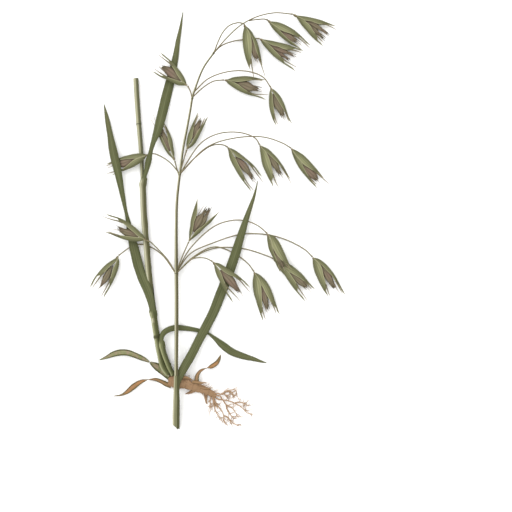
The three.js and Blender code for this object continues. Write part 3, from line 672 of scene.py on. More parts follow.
def leafPatch(spine, out, side, halfArc, curl, look, sheath=0.0, columns=33):
    # v runs from margin to margin; the arc wraps the stalk at the sheath and lies nearly flat in the blade
    along = travelled(spine)
    v = np.linspace(-1, 1, columns)
    theta = v[None, :] * curl[:, None]
    radius = (halfArc / curl)[:, None]
    outward = out[:, None, :] * np.cos(theta)[..., None] + side[:, None, :] * np.sin(theta)[..., None]
    middle = spine[:, None, :] + (outward - out[:, None, :]) * radius[..., None]
    reach = v[None, :] * halfArc[:, None]
    ribs = look["ribHeight"] * np.cos(v * look["ribs"] * np.pi) * np.minimum(1, halfArc / 3)[:, None]
    midrib = look["midrib"] * np.exp(-((reach / 0.45) ** 2))
    thin = look["thickness"] * (1 - 0.7 * np.abs(v) ** 6)[None, :]
    waves = np.stack([wander(along, look["seed"] + (0 if x < 0 else 5), 0.11) for x in v], axis=1)
    flutter = look["flutter"] * np.abs(v[None, :]) ** 3 * waves * np.minimum(1, halfArc / 2.5)[:, None]
    swell = np.zeros(len(along))
    for at, height, width in look["swellings"]:
        swell = swell + height * bump(along, at, width)
    outer = middle + outward * (thin / 2 + ribs + midrib + flutter + swell[:, None])[..., None]
    inner = middle + outward * (-thin / 2 + flutter)[..., None]
    rings = np.concatenate([outer, inner[:, ::-1]], axis=1)
    # facing sets the painted highlight on the left flank and the painted shade on the right flank of a
    # sheath
    tangent = unit(np.gradient(spine, axis=0))
    right = unit(np.cross(tangent, up))
    facing = 0.5 + 0.5 * np.sum(outward * right[:, None, :], axis=2)
    flank = np.concatenate([facing, facing[:, ::-1]], axis=1)
    if look["slant"]:
        rings = slantedCut(rings, tangent, along, flank, look["slant"])
    across = (v + 1) / 2
    across = np.concatenate([across, across[::-1]])
    return patch(rings, across, along, along / along[-1], flank=flank, sheath=sheath)


def slantedCut(rings, tangent, along, flank, slant):
    # a cut made askew: the left flank ends higher than the right one
    push = slant * (0.5 - flank) * np.clip(1 - along / 9, 0, 1)[:, None]
    return rings + tangent[:, None, :] * push[..., None]


def bladeSpine(rows, spacing, start=0.0):
    stations = stationsOf(rows, spacing, start)
    halfArc = np.maximum(stations["size"] / 2, 0.12)
    return stations["point"], stations["normal"], stations["side"], halfArc


def makeBlade(name, node, leaf, material):
    spine, out, side, halfArc = bladeSpine(leaf["line"], leaf["spacing"])
    curl = np.full(len(spine), leaf["curl"])
    patches = [leafPatch(spine, out, side, halfArc, curl, leaf)]
    return makePiece(name, patches, [finishes[material]], [node])


def sheathedLeaf(name, node, leaf, culmRows, material):
    sheath = leaf["sheath"]
    stem = stationsOf(culmRows, leaf["spacing"], sheath["from"], sheath["to"])
    turn = np.radians(np.interp(stem["share"], [0, 1], sheath["turn"]))[:, None]
    outStem = stem["normal"] * np.cos(turn) + stem["side"] * np.sin(turn)
    sideStem = stem["side"] * np.cos(turn) - stem["normal"] * np.sin(turn)
    spineStem = stem["point"] + outStem * sheath["radius"]
    spine, out, side, halfArc = bladeSpine(leaf["line"], leaf["spacing"], leaf["bladeFrom"])
    closed = np.radians(leaf["closed"])
    halfStem = np.full(len(spineStem), closed * sheath["radius"])
    spine = np.vstack([spineStem, spine])
    out = np.vstack([outStem, out])
    side = np.vstack([sideStem, side])
    halfArc = np.concatenate([halfStem, halfArc])
    along = travelled(spine)
    mouth = along[len(spineStem) - 1]
    opened = smooth(along, mouth - leaf["mouth"], mouth + leaf["mouth"] * 0.6)
    curl = closed * (1 - opened) + leaf["curl"] * opened
    halfArc = np.where(along < mouth, halfStem[0], halfArc)
    bladeHalf = np.interp(along, along[len(spineStem):], halfArc[len(spineStem):])
    halfArc = halfStem[0] * (1 - opened) + bladeHalf * opened
    kernel = np.hanning(2 * int(leaf["mouth"] / leaf["spacing"]) + 3)
    kernel /= kernel.sum()
    pad = len(kernel) // 2
    near = bump(along, mouth, leaf["mouth"] * 1.6)[:, None]
    for values in (spine, out, side):
        padded = np.pad(values, ((pad, pad), (0, 0)), mode="edge")
        eased = np.stack([np.convolve(padded[:, k], kernel, "valid") for k in range(3)], axis=1)
        values[:] = values * (1 - near) + eased * near
    out = unit(out)
    side = unit(side - out * np.sum(side * out, axis=1, keepdims=True))
    wrapped = 1 - smooth(along, mouth - leaf["mouth"] * 0.5, mouth + leaf["mouth"] * 0.4)
    for joint in leaf["joints"]:
        wrapped = wrapped + bump(along, mouth * joint, 1.3)
    swellings = [(mouth - leaf["mouth"] * 0.5, leaf["collar"], 1.5)]
    swellings += [(mouth * joint, 0.35, 1.2) for joint in leaf["joints"]]
    patches = [leafPatch(spine, out, side, halfArc, curl, dict(leaf, swellings=swellings), wrapped)]
    return makePiece(name, patches, [finishes[material]], [node])


def partedLeaf(name, node, leaf, culmRows, material):
    # the sheath narrows onto the culm, and the blade leaves from inside its right flank
    sheath = leaf["sheath"]
    stem = stationsOf(culmRows, leaf["spacing"], sheath["from"], sheath["to"])
    radius = np.interp(stem["point"][:, 1], *zip(*sheath["radii"]))
    turn = math.radians(sheath["turn"])
    out = stem["normal"] * math.cos(turn) + stem["side"] * math.sin(turn)
    side = stem["side"] * math.cos(turn) - stem["normal"] * math.sin(turn)
    closed = np.full(len(radius), math.radians(leaf["closed"]))
    wrap = leafPatch(stem["point"] + out * radius[:, None], out, side, closed * radius, closed, leaf, 1.0)
    spine, out, side, halfArc = bladeSpine(leaf["line"], leaf["spacing"])
    along = travelled(spine)
    curl = leaf["curl"] + leaf["parting"] * (1 - smooth(along, 6, 22))
    blade = leafPatch(spine, out, side, halfArc, curl, dict(leaf, slant=0.0), 1 - smooth(along, 3, 12))
    return makePiece(name, [wrap, blade], [finishes[material]], [node])


baseCulm = {
    "line": [
        [-36.5, -120.5, 3.2, 1.3], [-41.6, -112.6, 3.0, 1.3], [-45.4, -94.5, 2.6, 1.3],
        [-47.8, -79.5, 2.5, 1.3], [-51.4, -49.5, 2.7, 1.3], [-54.0, -19.5, 3.7, 1.3],
        [-55.8, 0.0, 2.9, 1.3], [-57.0, 26.0, 2.3, 1.3], [-58.2, 50.0, 1.7, 1.6],
        [-60.2, 75.0, 1.95, 1.85], [-61.7, 97.0, 1.95, 1.9], [-62.3, 108.0, 1.95, 1.9],
    ],
    "joints": [-89.7, 73.0], "jointWidth": 0.8, "jointSwell": 0.25, "ridges": 14, "ridgeHeight": 0.05,
    "wall": 0.45, "hollow": 8.0, "slant": 0.0,
}

floweringCulm = {
    "line": [
        [-31.4, -159.7, 2.7, 1.45], [-31.2, -147.0, 3.8, 1.45], [-30.9, -135.7, 6.3, 1.45],
        [-30.9, -126.0, 8.0, 1.45], [-30.9, -115.0, 8.3, 1.4], [-30.9, -102.0, 7.3, 1.4],
        [-30.9, -83.0, 5.7, 1.5], [-30.9, -64.5, 4.6, 1.45], [-31.1, -42.0, 4.0, 1.4],
        [-31.2, -4.5, 3.4, 1.1], [-30.7, 14.2, 3.2, 1.0], [-28.5, 34.5, 3.2, 0.9],
        [-25.7, 55.5, 3.2, 0.8], [-22.8, 70.5, 3.3, 0.8], [-20.1, 85.5, 3.6, 0.8],
        [-18.9, 93.0, 3.8, 0.8], [-16.5, 100.5, 3.9, 0.7], [-10.5, 115.5, 4.2, 0.65],
        [-2.2, 127.5, 4.4, 0.65],
    ],
    "joints": [-42.0, 34.0, 92.5, 127.0], "jointWidth": 0.7, "jointSwell": 0.22,
    "ridges": 12, "ridgeHeight": 0.05, "wall": 0.4, "hollow": 8.0, "slant": 3.4,
}


def culmPatches(culm, hollowStart, hollowEnd, sides=42, spacing=0.8):
    stations = stationsOf(culm["line"], spacing)
    angle = np.linspace(0, 2 * np.pi, sides, endpoint=False)
    near = sum(bump(stations["point"][:, 1], joint, culm["jointWidth"]) for joint in culm["joints"])
    ridge = culm["ridgeHeight"] * np.cos(culm["ridges"] * angle)
    radius = stations["size"][:, None] + culm["jointSwell"] * near[:, None] + ridge[None, :]
    outside = tube(stations, radius, sides, caps=(not hollowStart, not hollowEnd))
    outside["sheath"] = 2 * near
    patches = [outside]
    if culm["slant"]:
        slope = (stations["tangent"], stations["along"], outside["flank"], culm["slant"])
        outside["rings"] = slantedCut(outside["rings"], *slope)
    for wanted, order in ((hollowStart, 1), (hollowEnd, -1)):
        if not wanted:
            continue
        count = max(4, int(culm["hollow"] / spacing))
        picked = {key: values[::order][:count] for key, values in stations.items()}
        inner = tube(picked, picked["size"] - culm["wall"], sides)["rings"]
        if culm["slant"] and order > 0:
            slope = (picked["tangent"], picked["along"], outside["flank"][:count], culm["slant"])
            inner = slantedCut(inner, *slope)
        outer = outside["rings"][::order][0]
        rings = np.concatenate([outer[None], (outer[None] + inner[:1]) / 2, inner], axis=0)
        depth = np.abs(picked["along"] - picked["along"][0])
        along = np.concatenate([[0, culm["wall"] / 2], depth + culm["wall"]])
        if order > 0:
            rings = rings[:, ::-1]
        across = np.linspace(0, 1, sides, endpoint=False)
        patches.append(patch(rings, across, along, along / along[-1], 0, (False, True)))
    return patches


def makeBaseCulm():
    patches = culmPatches(baseCulm, False, True)
    return makePiece("baseCulm", patches, [finishes["culm"]], ["base_culm"])


stalkForm = {"radius": 0.46, "flare": 0.2}

# Joints of the panicle axis that the stalks leave from
topJoint = [-2.2, 127.5, 4.4]
highJoint = [-19.1, 93.0, 3.8]
middleJoint = [-28.5, 34.5, 3.2]
lowJoint = [-31.5, -42.0, 4.0]

# Stalks of the panicle, in the order of their spikelets: the hump of each one and its way from the axis
stalkWays = [
    (3, [topJoint, [1.0, 135.5], [5.0, 143.0], [10.0, 147.8], [16.5, 149.9]]),
    (5, [topJoint, [8.0, 138.5], [18.2, 147.5], [30.5, 154.0], [44.0, 157.4]]),
    (1, [[24.4, 151.1, 8.5], [31.0, 152.2, 7.0], [36.0, 152.8]]),
    (0, [topJoint, [3.5, 132.7], [12.7, 136.6, 1.8], [21.0, 138.0, 0.7], [28.0, 138.6, 1.3]]),
    (1, [highJoint, [-9.8, 101.2], [-2.2, 105.6]]),
    (8, [[-17.5, 97.5, 3.8], [-6.0, 107.0], [9.7, 111.9], [24.0, 111.9], [35.3, 108.0]]),
    (0, [highJoint, [-20.3, 97.6]]),
    (1, [middleJoint, [-25.6, 45.0]]),
    (1, [middleJoint, [-35.8, 43.0], [-44.2, 48.4], [-49.0, 49.8]]),
    (0, [[-29.0, 33.0, 3.2], [-31.2, 40.0]]),
    (3, [middleJoint, [-18.0, 45.6], [-4.2, 55.9], [4.5, 56.6]]),
    (4, [middleJoint, [-12.0, 58.1], [2.0, 65.2], [18.7, 65.7], [29.4, 61.6]]),
    (6, [middleJoint, [-7.5, 54.7], [12.7, 61.3], [35.2, 62.3], [50.2, 57.8]]),
    (1, [lowJoint, [-26.7, -29.2]]),
    (2, [lowJoint, [-37.5, -31.5], [-46.0, -22.0], [-51.0, -17.4]]),
    (0, [lowJoint, [-41.7, -28.0, 1.8], [-51.5, -21.3, 0.65], [-60.0, -19.5, 0.7], [-67.0, -21.9, 1.3]]),
    (3, [lowJoint, [-18.8, -30.7], [-9.0, -30.0]]),
    (-2.2, [lowJoint, [-18.0, -29.0], [-2.2, -21.4], [11.2, -25.3], [23.6, -34.1]]),
    (0, [lowJoint, [-21.0, -23.2, 3.2], [-2.2, -5.7, 2.2], [11.2, -1.1, 1.7], [22.0, -1.4, 1.9],
         [31.4, -5.2, 5.0]]),
    (-2.2, [lowJoint, [-17.2, -29.2], [-2.2, -22.5], [20.2, -22.8], [38.6, -28.4]]),
    (-2.4, [lowJoint, [-21.0, -27.0], [-2.2, -18.0], [20.2, -11.5], [45.4, -13.4], [66.6, -22.9]]),
]

# Spikelets. In their own frame x runs from the foot along the heading and y to its left, in mm.
# A glume has its tip, the x where the tip splits, the end of its inner tooth, and its outer and inner edge
# at the glume stations, measured off the middle. A floret has rows of x, low edge and high edge.
restHeight = 2.94
glumeStations = [3, 6, 10, 15, 20, 25, 30]
spikelets = [
    {"foot": [21.0, 148.9], "heading": -74, "upper": "right", "height": 4.3, "start": 1.0,
     "left": [(33.5, 4.5), 30, (43, 4.3), [1.9, 3.5, 4.6, 5.7, 5.8, 5.5, 5.0],
              [0.9, 1.8, 2.6, 2.9, 3.0, 3.2, 3.5]],
     "right": [(34.5, 5.3), 30.5, (42, 4.5), [1.3, 2.9, 4.3, 5.4, 6.0, 6.2, 5.9],
               [-0.9, -1.8, -2.2, -1.6, -0.2, 1.5, 2.6]],
     "florets": [[[10.5, 2.2, 3.2], [14, 1.4, 3.5], [18, 0.6, 3.7], [22, -0.3, 3.7], [25, -0.5, 3.4],
                  [28.4, 1.7, 2.3]]]},
    {"foot": [58.5, 156.8], "heading": -30, "upper": "left", "start": 1.8,
     "left": [(32.5, 8.5), 26.5, (34.5, 6.2), [0.9, 2.2, 3.8, 5.4, 6.8, 7.6, 8.3],
              [0, 0, 0.2, 2.0, 2.9, 5.2, 6.2]],
     "right": [(32, 9.8), 25, (31, 7.2), [0.6, 2.1, 4.0, 5.7, 7.4, 8.6, 9.4],
               [0, 0, 0.1, 0.8, 3.5, 5.2, 6.8]],
     "florets": [
         [[11, 0, 0.8], [15, -0.1, 2.2], [18, -0.2, 2.6], [21, -0.3, 2.4], [25, -0.4, 1.8], [28, -0.2, 0.9],
          [30, -0.1, 0.2]],
         [[13, -0.7, 0], [18, -2.5, -0.2], [20, -3.4, -0.5], [23, -4.1, -1.3], [26, -4.3, -2.7],
          [28.8, -4.5, -4.1]]],
     "awns": [[27, 0.2, 33, -1.3]]},
    {"foot": [39.0, 152.3], "heading": -40, "upper": "left", "start": 1.3,
     "left": [(37, 6.3), 26, (39, 4.3), [1.4, 3.5, 5.2, 6.5, 7.2, 7.3, 6.9],
              [-0.2, -0.2, -0.1, 0.9, 3.0, 4.2, 4.7]],
     "right": [(34.5, 0.6), 0, None, [1.3, 2.2, 2.8, 3.2, 3.2, 2.8, 1.5],
               [0.4, 0.3, 0.1, 0.5, 1.0, 0.8, 0.5]],
     "florets": [[[14, -0.3, 0.3], [17, -0.8, 1.5], [20, -1.1, 2.7], [22, -1.1, 3.2], [24, -0.8, 3.2],
                  [27.8, 1.8, 2.1]]]},
    {"foot": [33.0, 138.0], "heading": -29, "upper": "left",
     "left": [(33.5, 8.3), 26, (33, 6.0), [1.2, 2.3, 3.6, 5.0, 6.4, 7.2, 8.0],
              [0, 0, -0.1, 1.2, 1.8, 3.9, 5.6]],
     "right": [(35.5, 8.3), 24, (36, 5.3), [2.1, 3.4, 4.8, 6.3, 7.2, 7.7, 8.0],
               [0.3, 0.5, 1.0, 2.6, 4.0, 5.0, 5.2]],
     "florets": [
         [[10.5, -1.0, 0.1], [14, -1.4, 1.0], [17, -1.5, 1.5], [20, -1.2, 1.9], [23, -0.4, 2.2],
          [28.5, 1.1, 1.5]],
         [[11, -1.6, -0.7], [15, -2.7, -0.9], [18, -3.4, -1.1], [21, -3.7, -1.2], [24, -3.4, -2.0],
          [27, -3.0, -2.6]]]},
    {"foot": [6.0, 106.5], "heading": -11, "upper": "left", "start": 0.5,
     "left": [(30.5, 6.1), 24, (28.5, 5.0), [1.6, 3.4, 4.7, 6.0, 6.4, 6.3, 6.1],
              [0, 0, 0.2, 1.8, 3.8, 4.8, 5.2]],
     "right": [(33.5, 8.7), 22, (35, 4.5), [2.3, 3.7, 5.3, 6.7, 7.6, 7.8, 8.3],
               [0.2, 0.5, 1.2, 3.6, 5.5, 6.0, 5.3]],
     "florets": [[[9.5, -1.2, -0.5], [12, -2.0, 0.5], [15, -3.4, 1.4], [17, -4.3, 1.6], [19, -4.9, 1.4],
                  [21, -4.8, 0.7],
                  [23, -3.6, -0.1], [25, -2.6, -0.5], [27, -2.0, -1.3]]],
     "teeth": [[23.5, -0.5, 27, -0.1], [23.5, -2.8, 27, -2.9]]},
    {"foot": [41.3, 100.5], "heading": -70, "upper": "right",
     "left": [(31, 5.8), 24, (29, 3.9), [2.4, 3.8, 4.9, 5.4, 5.3, 5.2, 5.4],
              [0.3, 0.6, 1.4, 2.4, 3.5, 4.0, 4.0]],
     "right": [(28.5, 5.9), 23, (28, 4.6), [2.2, 3.6, 5.2, 6.4, 6.8, 6.7, 6.2],
               [0.4, 0.8, 1.9, 3.0, 4.2, 4.8, 4.8]],
     "florets": [[[6, -0.4, 0.6], [8, -1.1, 1.1], [10, -1.7, 1.6], [13, -2.3, 2.3], [15, -2.1, 2.9],
                  [18, -1.4, 3.4],
                  [20, -0.9, 3.2], [22, 0.2, 2.5], [24, 0.9, 1.6]]]},
    {"foot": [-22.9, 102.0], "heading": 145, "upper": "right", "height": 5.6,
     "left": [(28, 6.4), 19, (28.5, 3.9), [2.2, 3.9, 4.5, 5.2, 6.2, 6.5, 6.6],
              [0, 0.5, 1.7, 3.0, 3.6, 3.8, 3.9]],
     "right": [(31.5, 9.2), 21, (32.5, 6.7), [2.4, 4.2, 5.8, 7.2, 8.3, 8.8, 9.2],
               [0.1, 0.5, 1.8, 4.2, 5.8, 6.2, 6.6]],
     "florets": [[[7, -0.5, 0.5], [9, -1.3, 1.2], [12, -3.1, 1.8], [15, -4.1, 2.0], [18, -4.1, 1.8],
                  [20, -3.6, 1.5],
                  [22, -2.5, 1.0], [23.6, -1.2, 0.4]]],
     "awns": [[21, 0.6, 27.5, 0.2]]},
    {"foot": [-23.0, 53.6], "heading": 65, "upper": "left",
     "left": [(29, 4.4), 21, (27, 2.8), [1.9, 3.0, 3.9, 4.2, 4.4, 4.3, 4.3],
              [0.2, -0.2, 0, 1.4, 2.5, 2.8, 2.8]],
     "right": [(29.5, 4.2), 22, (28, 2.2), [2.4, 3.6, 4.1, 4.2, 4.3, 4.2, 4.2],
               [0.6, 1.1, 1.3, 1.6, 2.2, 2.3, 2.2]],
     "florets": [[[10, -1.1, 0], [13, -1.6, 0.9], [15, -1.8, 1.5], [18, -1.9, 2.1], [20, -1.7, 1.8],
                  [24.5, -0.5, 0]]],
     "awns": [[8, 0.4, 21, -2.4], [14, 1.5, 30, 3.2]]},
    {"foot": [-52.9, 48.8], "heading": 198, "upper": "left", "height": 6.9, "pitch": -10,
     "left": [(31, 5.7), 26, (35.5, 3.4), [2.0, 3.3, 4.6, 5.3, 5.5, 5.5, 5.6],
              [0, 0, 0, 1.6, 3.4, 4.2, 3.5]],
     "right": [(33, 3.6), 26, (34, 2.4), [2.0, 3.2, 4.1, 4.6, 4.9, 4.4, 4.0],
               [0.3, 0.4, 0.5, 1.6, 2.8, 3.0, 2.6]],
     "florets": [[[11, -0.7, 0], [14, -1.3, 1.0], [16, -1.8, 1.7], [18, -2.3, 2.5], [20, -2.7, 2.9],
                  [22, -2.8, 2.5],
                  [24, -2, 1.6], [27, -0.6, 0.6]]],
     "awns": [[24, -1.0, 37, 0]]},
    {"foot": [-32.6, 45.0], "heading": 112, "upper": "right", "height": 3.5, "pitch": -2,
     "left": [(30.5, 4.6), 24, (29, 3.2), [1.4, 2.7, 3.6, 4.1, 4.2, 4.3, 4.5],
              [0.4, 0.8, 1.6, 1.9, 2.1, 2.8, 3.2]],
     "right": [(30, 3.3), 25, (28, 2.0), [1.2, 2.2, 3.0, 4.2, 4.4, 4.0, 3.6],
               [0, 0.1, 0.4, 1.0, 2.0, 2.6, 2.6]],
     "florets": [[[9, -0.3, 1.4], [13, -0.9, 1.8], [16, -1.2, 1.8], [19, -1.3, 2.0], [22, -1.0, 2.0],
                  [27, 0.3, 1.2]]],
     "awns": [[22, 2.4, 38, 5.4], [22, 2.2, 43, 2.0]]},
    {"foot": [8.3, 54.8], "heading": -51, "upper": "left", "height": 3.6, "pitch": -2,
     "left": [(33.5, 6.3), 23, (38, 4.3), [2.0, 3.3, 4.4, 5.4, 6.4, 6.9, 6.6],
              [0.2, 0.4, 0.7, 3.4, 4.4, 4.5, 4.4]],
     "right": [(37, 7.2), 27, (38, 5.3), [1.7, 3.4, 4.8, 5.8, 6.6, 7.1, 7.3],
               [0, 0.2, 0.7, 1.8, 2.7, 4.2, 5.2]],
     "florets": [[[11, -0.8, 0.7], [15, -1.5, 2.2], [18, -1.7, 2.7], [21, -1.7, 2.6], [24, -1.4, 2.0],
                  [27, -1.1, 1.1],
                  [29, -1.0, 0.5], [31, -0.7, 0]]],
     "teeth": [[25, 1.4, 29.5, 1.6]]},
    {"foot": [33.0, 56.3], "heading": -60, "upper": "right",
     "left": [(33.5, 7.3), 26, (37, 6.2), [2.6, 4.3, 5.5, 6.7, 7.2, 7.4, 7.3],
              [0.6, 1.6, 2.4, 4.0, 5.2, 5.8, 6.1]],
     "right": [(32.5, 7.1), 27, (35.5, 3.7), [1.9, 3.0, 4.6, 6.0, 6.5, 6.9, 7.0],
               [-0.6, -1.4, -1.4, -0.6, 0.9, 2.4, 3.4]],
     "florets": [[[8, 1.6, 2.4], [10, 1.3, 3.0], [13, 1.0, 4.0], [15, 0.7, 4.4], [18, 0.4, 4.7],
                  [20, 0.5, 4.7],
                  [22, 0.9, 4.4], [25, 1.6, 3.5], [27.5, 2.3, 2.8]]],
     "teeth": [[21, 1.2, 25, 0.7]]},
    {"foot": [57.0, 54.0], "heading": -49, "upper": "left",
     "left": [(33, 3.9), 27, (40, 4.0), [1.7, 2.7, 3.8, 4.2, 4.3, 4.3, 4.1],
              [-0.6, -0.9, -1.2, -1.2, 0.2, 1.6, 2.6]],
     "right": [(35.5, 5.0), 28, (33.5, 3.5), [1.9, 3.0, 4.2, 5.2, 5.6, 5.6, 5.5],
               [0.8, 1.2, 1.5, 1.8, 3.1, 3.9, 3.7]],
     "florets": [[[15.5, -2.2, -1.3], [18, -2.9, -0.7], [20, -3.4, 0], [22, -3.7, 0.8], [25, -3.8, 1.5],
                  [27, -3.6, 1.8],
                  [29, -2.7, 1.4], [31, -1.4, 0]]]},
    {"foot": [-21.4, -16.9], "heading": 61, "upper": "left",
     "left": [(31.5, 10.1), 0, None, [1.7, 3.2, 4.7, 6.7, 8.0, 9.0, 9.9],
              [0.3, 0.8, 1.9, 3.6, 4.4, 6.6, 9.2]],
     "right": [(31, 9.4), 0, None, [1.5, 2.8, 4.3, 5.6, 7.4, 8.4, 9.2],
               [0.2, 0.5, 1.0, 3.5, 5.0, 6.9, 8.7]],
     "florets": [
         [[9, 0.2, 1.3], [12, -0.6, 2.7], [15, -1.4, 3.9], [18, -1.5, 4.2], [20, -1.2, 3.7],
          [22, -0.6, 2.5], [28.3, -0.2, 0.2]],
         [[9, -0.6, 0.6], [12, -2.0, 0.4], [15, -3.3, 0], [18, -3.9, -0.3], [20, -4.0, -0.4],
          [23, -3.5, -0.7],
          [26, -2.8, -1.2], [29.5, -2.0, -1.7]]],
     "awns": [[19, 3.5, 34, 3.1]]},
    {"foot": [-54.0, -16.1], "heading": 158, "upper": "right", "height": 8.6, "pitch": -4,
     "left": [(31.5, 6.3), 24, (29.5, 4.8), [2.2, 3.8, 5.0, 5.9, 6.2, 6.1, 6.2],
              [0.1, 0.4, 1.5, 2.8, 4.1, 4.7, 4.8]],
     "right": [(36, 6.8), 25, (38.5, 4.1), [2.3, 3.7, 5.3, 6.7, 7.6, 7.9, 7.5],
               [0, 0.2, 1.6, 3.2, 4.8, 5.0, 4.4]],
     "florets": [[[7.5, -0.7, 0.4], [10, -1.4, 1.3], [13, -2.1, 2.1], [15, -2.3, 2.7], [17, -2.2, 2.8],
                  [19, -1.7, 2.2],
                  [23, -1.4, -0.6]]],
     "teeth": [[18, 1.4, 21.5, 2.0], [19, 0.4, 23, 0.7]], "awns": [[20, 0.6, 32, 2.4]]},
    {"foot": [-75.8, -28.5], "heading": 238, "upper": "left", "start": 0.8, "tucked": 0.1, "forks": (0,),
     "left": [(33, 7.5), 21, (33.5, 5.2), [2.9, 4.4, 5.6, 6.5, 7.0, 7.3, 7.4],
              [0.9, 1.3, 1.9, 3.3, 4.3, 4.8, 5.1]],
     "right": [(32, 6.0), 20, (31.5, 4.1), [1.2, 2.7, 4.4, 5.6, 6.3, 6.6, 6.1],
               [-0.7, -0.2, 0.9, 1.9, 2.9, 3.4, 4.0]],
     "florets": [[[9.5, -0.3, 0.8], [12, -1.0, 1.7], [14, -1.4, 2.5], [16, -1.6, 3.1], [18, -1.5, 3.3],
                  [20, -1.3, 3.2],
                  [22, -0.9, 2.8], [24, -0.3, 2.2], [26, 0.2, 1.6], [28.4, 0.7, 0.9]]],
     "awns": [[26, 0.8, 31.5, 1.1]]},
    {"foot": [-3.0, -33.0], "heading": -49, "upper": "right", "height": 6.5, "start": 0.8,
     "left": [(33, 8.5), 24, (36, 6.1), [2.4, 3.8, 4.9, 6.3, 7.6, 8.4, 8.8],
              [0.6, 0.8, 1.2, 2.6, 5.0, 6.1, 6.2]],
     "right": [(33.5, 8.8), 22, (36.5, 3.8), [1.3, 3.0, 4.6, 5.8, 7.0, 8.0, 8.6],
               [-0.2, 0, 0.5, 2.4, 3.8, 3.9, 3.8]],
     "florets": [[[9.5, -0.7, 1.0], [13, -1.5, 2.1], [15, -1.8, 2.8], [18, -2.0, 3.4], [20, -2.1, 3.5],
                  [22, -2.2, 3.4],
                  [25, -1.7, 2.7], [28, -0.7, 1.6], [30.5, 0, 0.8]]],
     "awns": [[28, 0.6, 35, 0.4]]},
    {"foot": [28.5, -40.9], "heading": -70, "upper": "right",
     "left": [(37, 7.2), 30, (36, 5.0), [3.1, 4.9, 6.5, 7.5, 7.7, 7.6, 7.4],
              [1.0, 1.9, 2.0, 2.3, 3.0, 4.0, 4.8]],
     "right": [(37.5, 6.4), 31, (37, 4.2), [1.8, 3.4, 4.7, 5.7, 6.0, 6.3, 6.5],
               [-1.0, -1.9, -1.9, -0.6, 1.0, 2.5, 3.7]],
     "florets": [[[12, 0.8, 1.6], [15, 0.2, 2.4], [18, -0.6, 2.9], [21, -1.2, 3.0], [24, -1.6, 2.6],
                  [27, -1.3, 1.6],
                  [30, -0.6, 0.4]]]},
    {"foot": [38.6, -11.6], "heading": -63, "upper": "left", "height": 8.6, "pitch": -1,
     "left": [(32.5, 4.2), 27, (32, 2.6), [3.4, 4.6, 5.3, 5.2, 5.0, 4.7, 4.3],
              [0.4, -0.1, -1.1, -1.1, -0.4, 1.2, 2.4]],
     "right": [(30.5, 4.4), 25, (30, 2.8), [1.8, 2.9, 4.1, 4.4, 4.4, 4.6, 4.6],
               [0, 0.5, 1.4, 2.0, 2.5, 2.8, 2.8]],
     "florets": [[[11, -1.9, -1.1], [15, -2.4, -0.9], [18, -2.8, -0.4], [20, -3.0, 0.1], [22, -3.0, 0.5],
                  [28, -1.4, 0.2]]]},
    {"foot": [43.5, -30.8], "heading": -45, "upper": "right",
     "left": [(38.5, 6.0), 32, (37, 4.2), [2.2, 3.9, 5.6, 6.6, 7.1, 7.2, 6.6],
              [-0.3, -0.6, -0.4, 1.3, 2.6, 3.9, 4.4]],
     "right": [(40, 5.9), 29, (40.5, 4.2), [1.0, 2.2, 2.6, 2.9, 3.9, 4.8, 5.3],
               [0, -0.4, -0.9, -1.2, -0.4, 0.6, 2.0]],
     "florets": [[[16.5, 0.7, 1.9], [20, 0.5, 2.6], [23, 0.1, 3.3], [26, 0, 3.9], [28, 0, 4.2],
                  [30, 0.6, 4.2],
                  [32, 1.4, 3.6], [33.5, 2.2, 2.8]]]},
    {"foot": [73.5, -29.6], "heading": -59, "upper": "right",
     "left": [(37, 6.6), 28, (35, 5.2), [3.2, 4.8, 6.1, 7.0, 7.4, 7.3, 7.0],
              [1.2, 2.2, 3.0, 4.1, 5.3, 5.4, 5.3]],
     "right": [(31.5, 5.2), 26, (32.5, 3.8), [1.9, 3.2, 4.4, 5.1, 5.6, 5.8, 5.5],
               [-1.0, -1.9, -1.9, -0.3, 1.1, 2.4, 3.6]],
     "florets": [[[9, 1.9, 2.8], [12, 1.2, 3.4], [15, 0.7, 4.2], [18, 0.2, 4.8], [20, 0.1, 4.9],
                  [23, 0.3, 4.4],
                  [26, 0.8, 3.6], [28.5, 1.6, 2.6]]],
     "awns": [[24, 2.6, 38, 3.5]]},
]

glumeForm = {
    "rise": 2.45, "thickness": 0.14, "nerves": 7, "nerveHeight": 0.07, "columns": 18, "stations": 60,
    "toothWidth": 1.05, "toothRadius": 0.5, "overlap": 0.6, "under": 0.82,
    "knobLength": 3.2, "knobRadius": 0.48, "knobSwell": 0.5,
}
floretForm = {
    "rise": 0.42, "tucked": 0.45, "lifts": (0.35, -0.35), "ridge": 0.05, "forks": (-1, 0, 1),
    "toothRadius": 0.45, "toothLength": (3.5, 5.0), "toothSpread": (0.7, 1.5), "toothReach": (0.2, 2.6),
    "hairs": 7, "hairLength": (2.0, 4.5), "hairRadius": 0.05,
    "awnRadius": 0.2, "awnReach": (2.5, 5.0), "awnBend": 0.35,
}


def spikeletAxes(spikelet):
    heading, pitch = np.radians(spikelet["heading"]), np.radians(spikelet.get("pitch", 0))
    ahead = np.array([np.cos(heading) * np.cos(pitch), np.sin(heading) * np.cos(pitch), np.sin(pitch)])
    left = np.array([-np.sin(heading), np.cos(heading), 0.0])
    foot = np.array([*spikelet["foot"], spikelet.get("height", restHeight)])
    return foot, ahead, left, np.cross(ahead, left)


def toPlant(points, spikelet):
    foot, ahead, left, above = spikeletAxes(spikelet)
    return foot + points[..., :1] * ahead + points[..., 1:2] * left + points[..., 2:] * above


def threadPatch(points, radii, spikelet, finish, sides=6, shareFrom=0.0):
    points = toPlant(points, spikelet)
    along = travelled(points)
    share = shareFrom + (1 - shareFrom) * along / along[-1]
    return thread(points, along, share, radii, sides, finish)


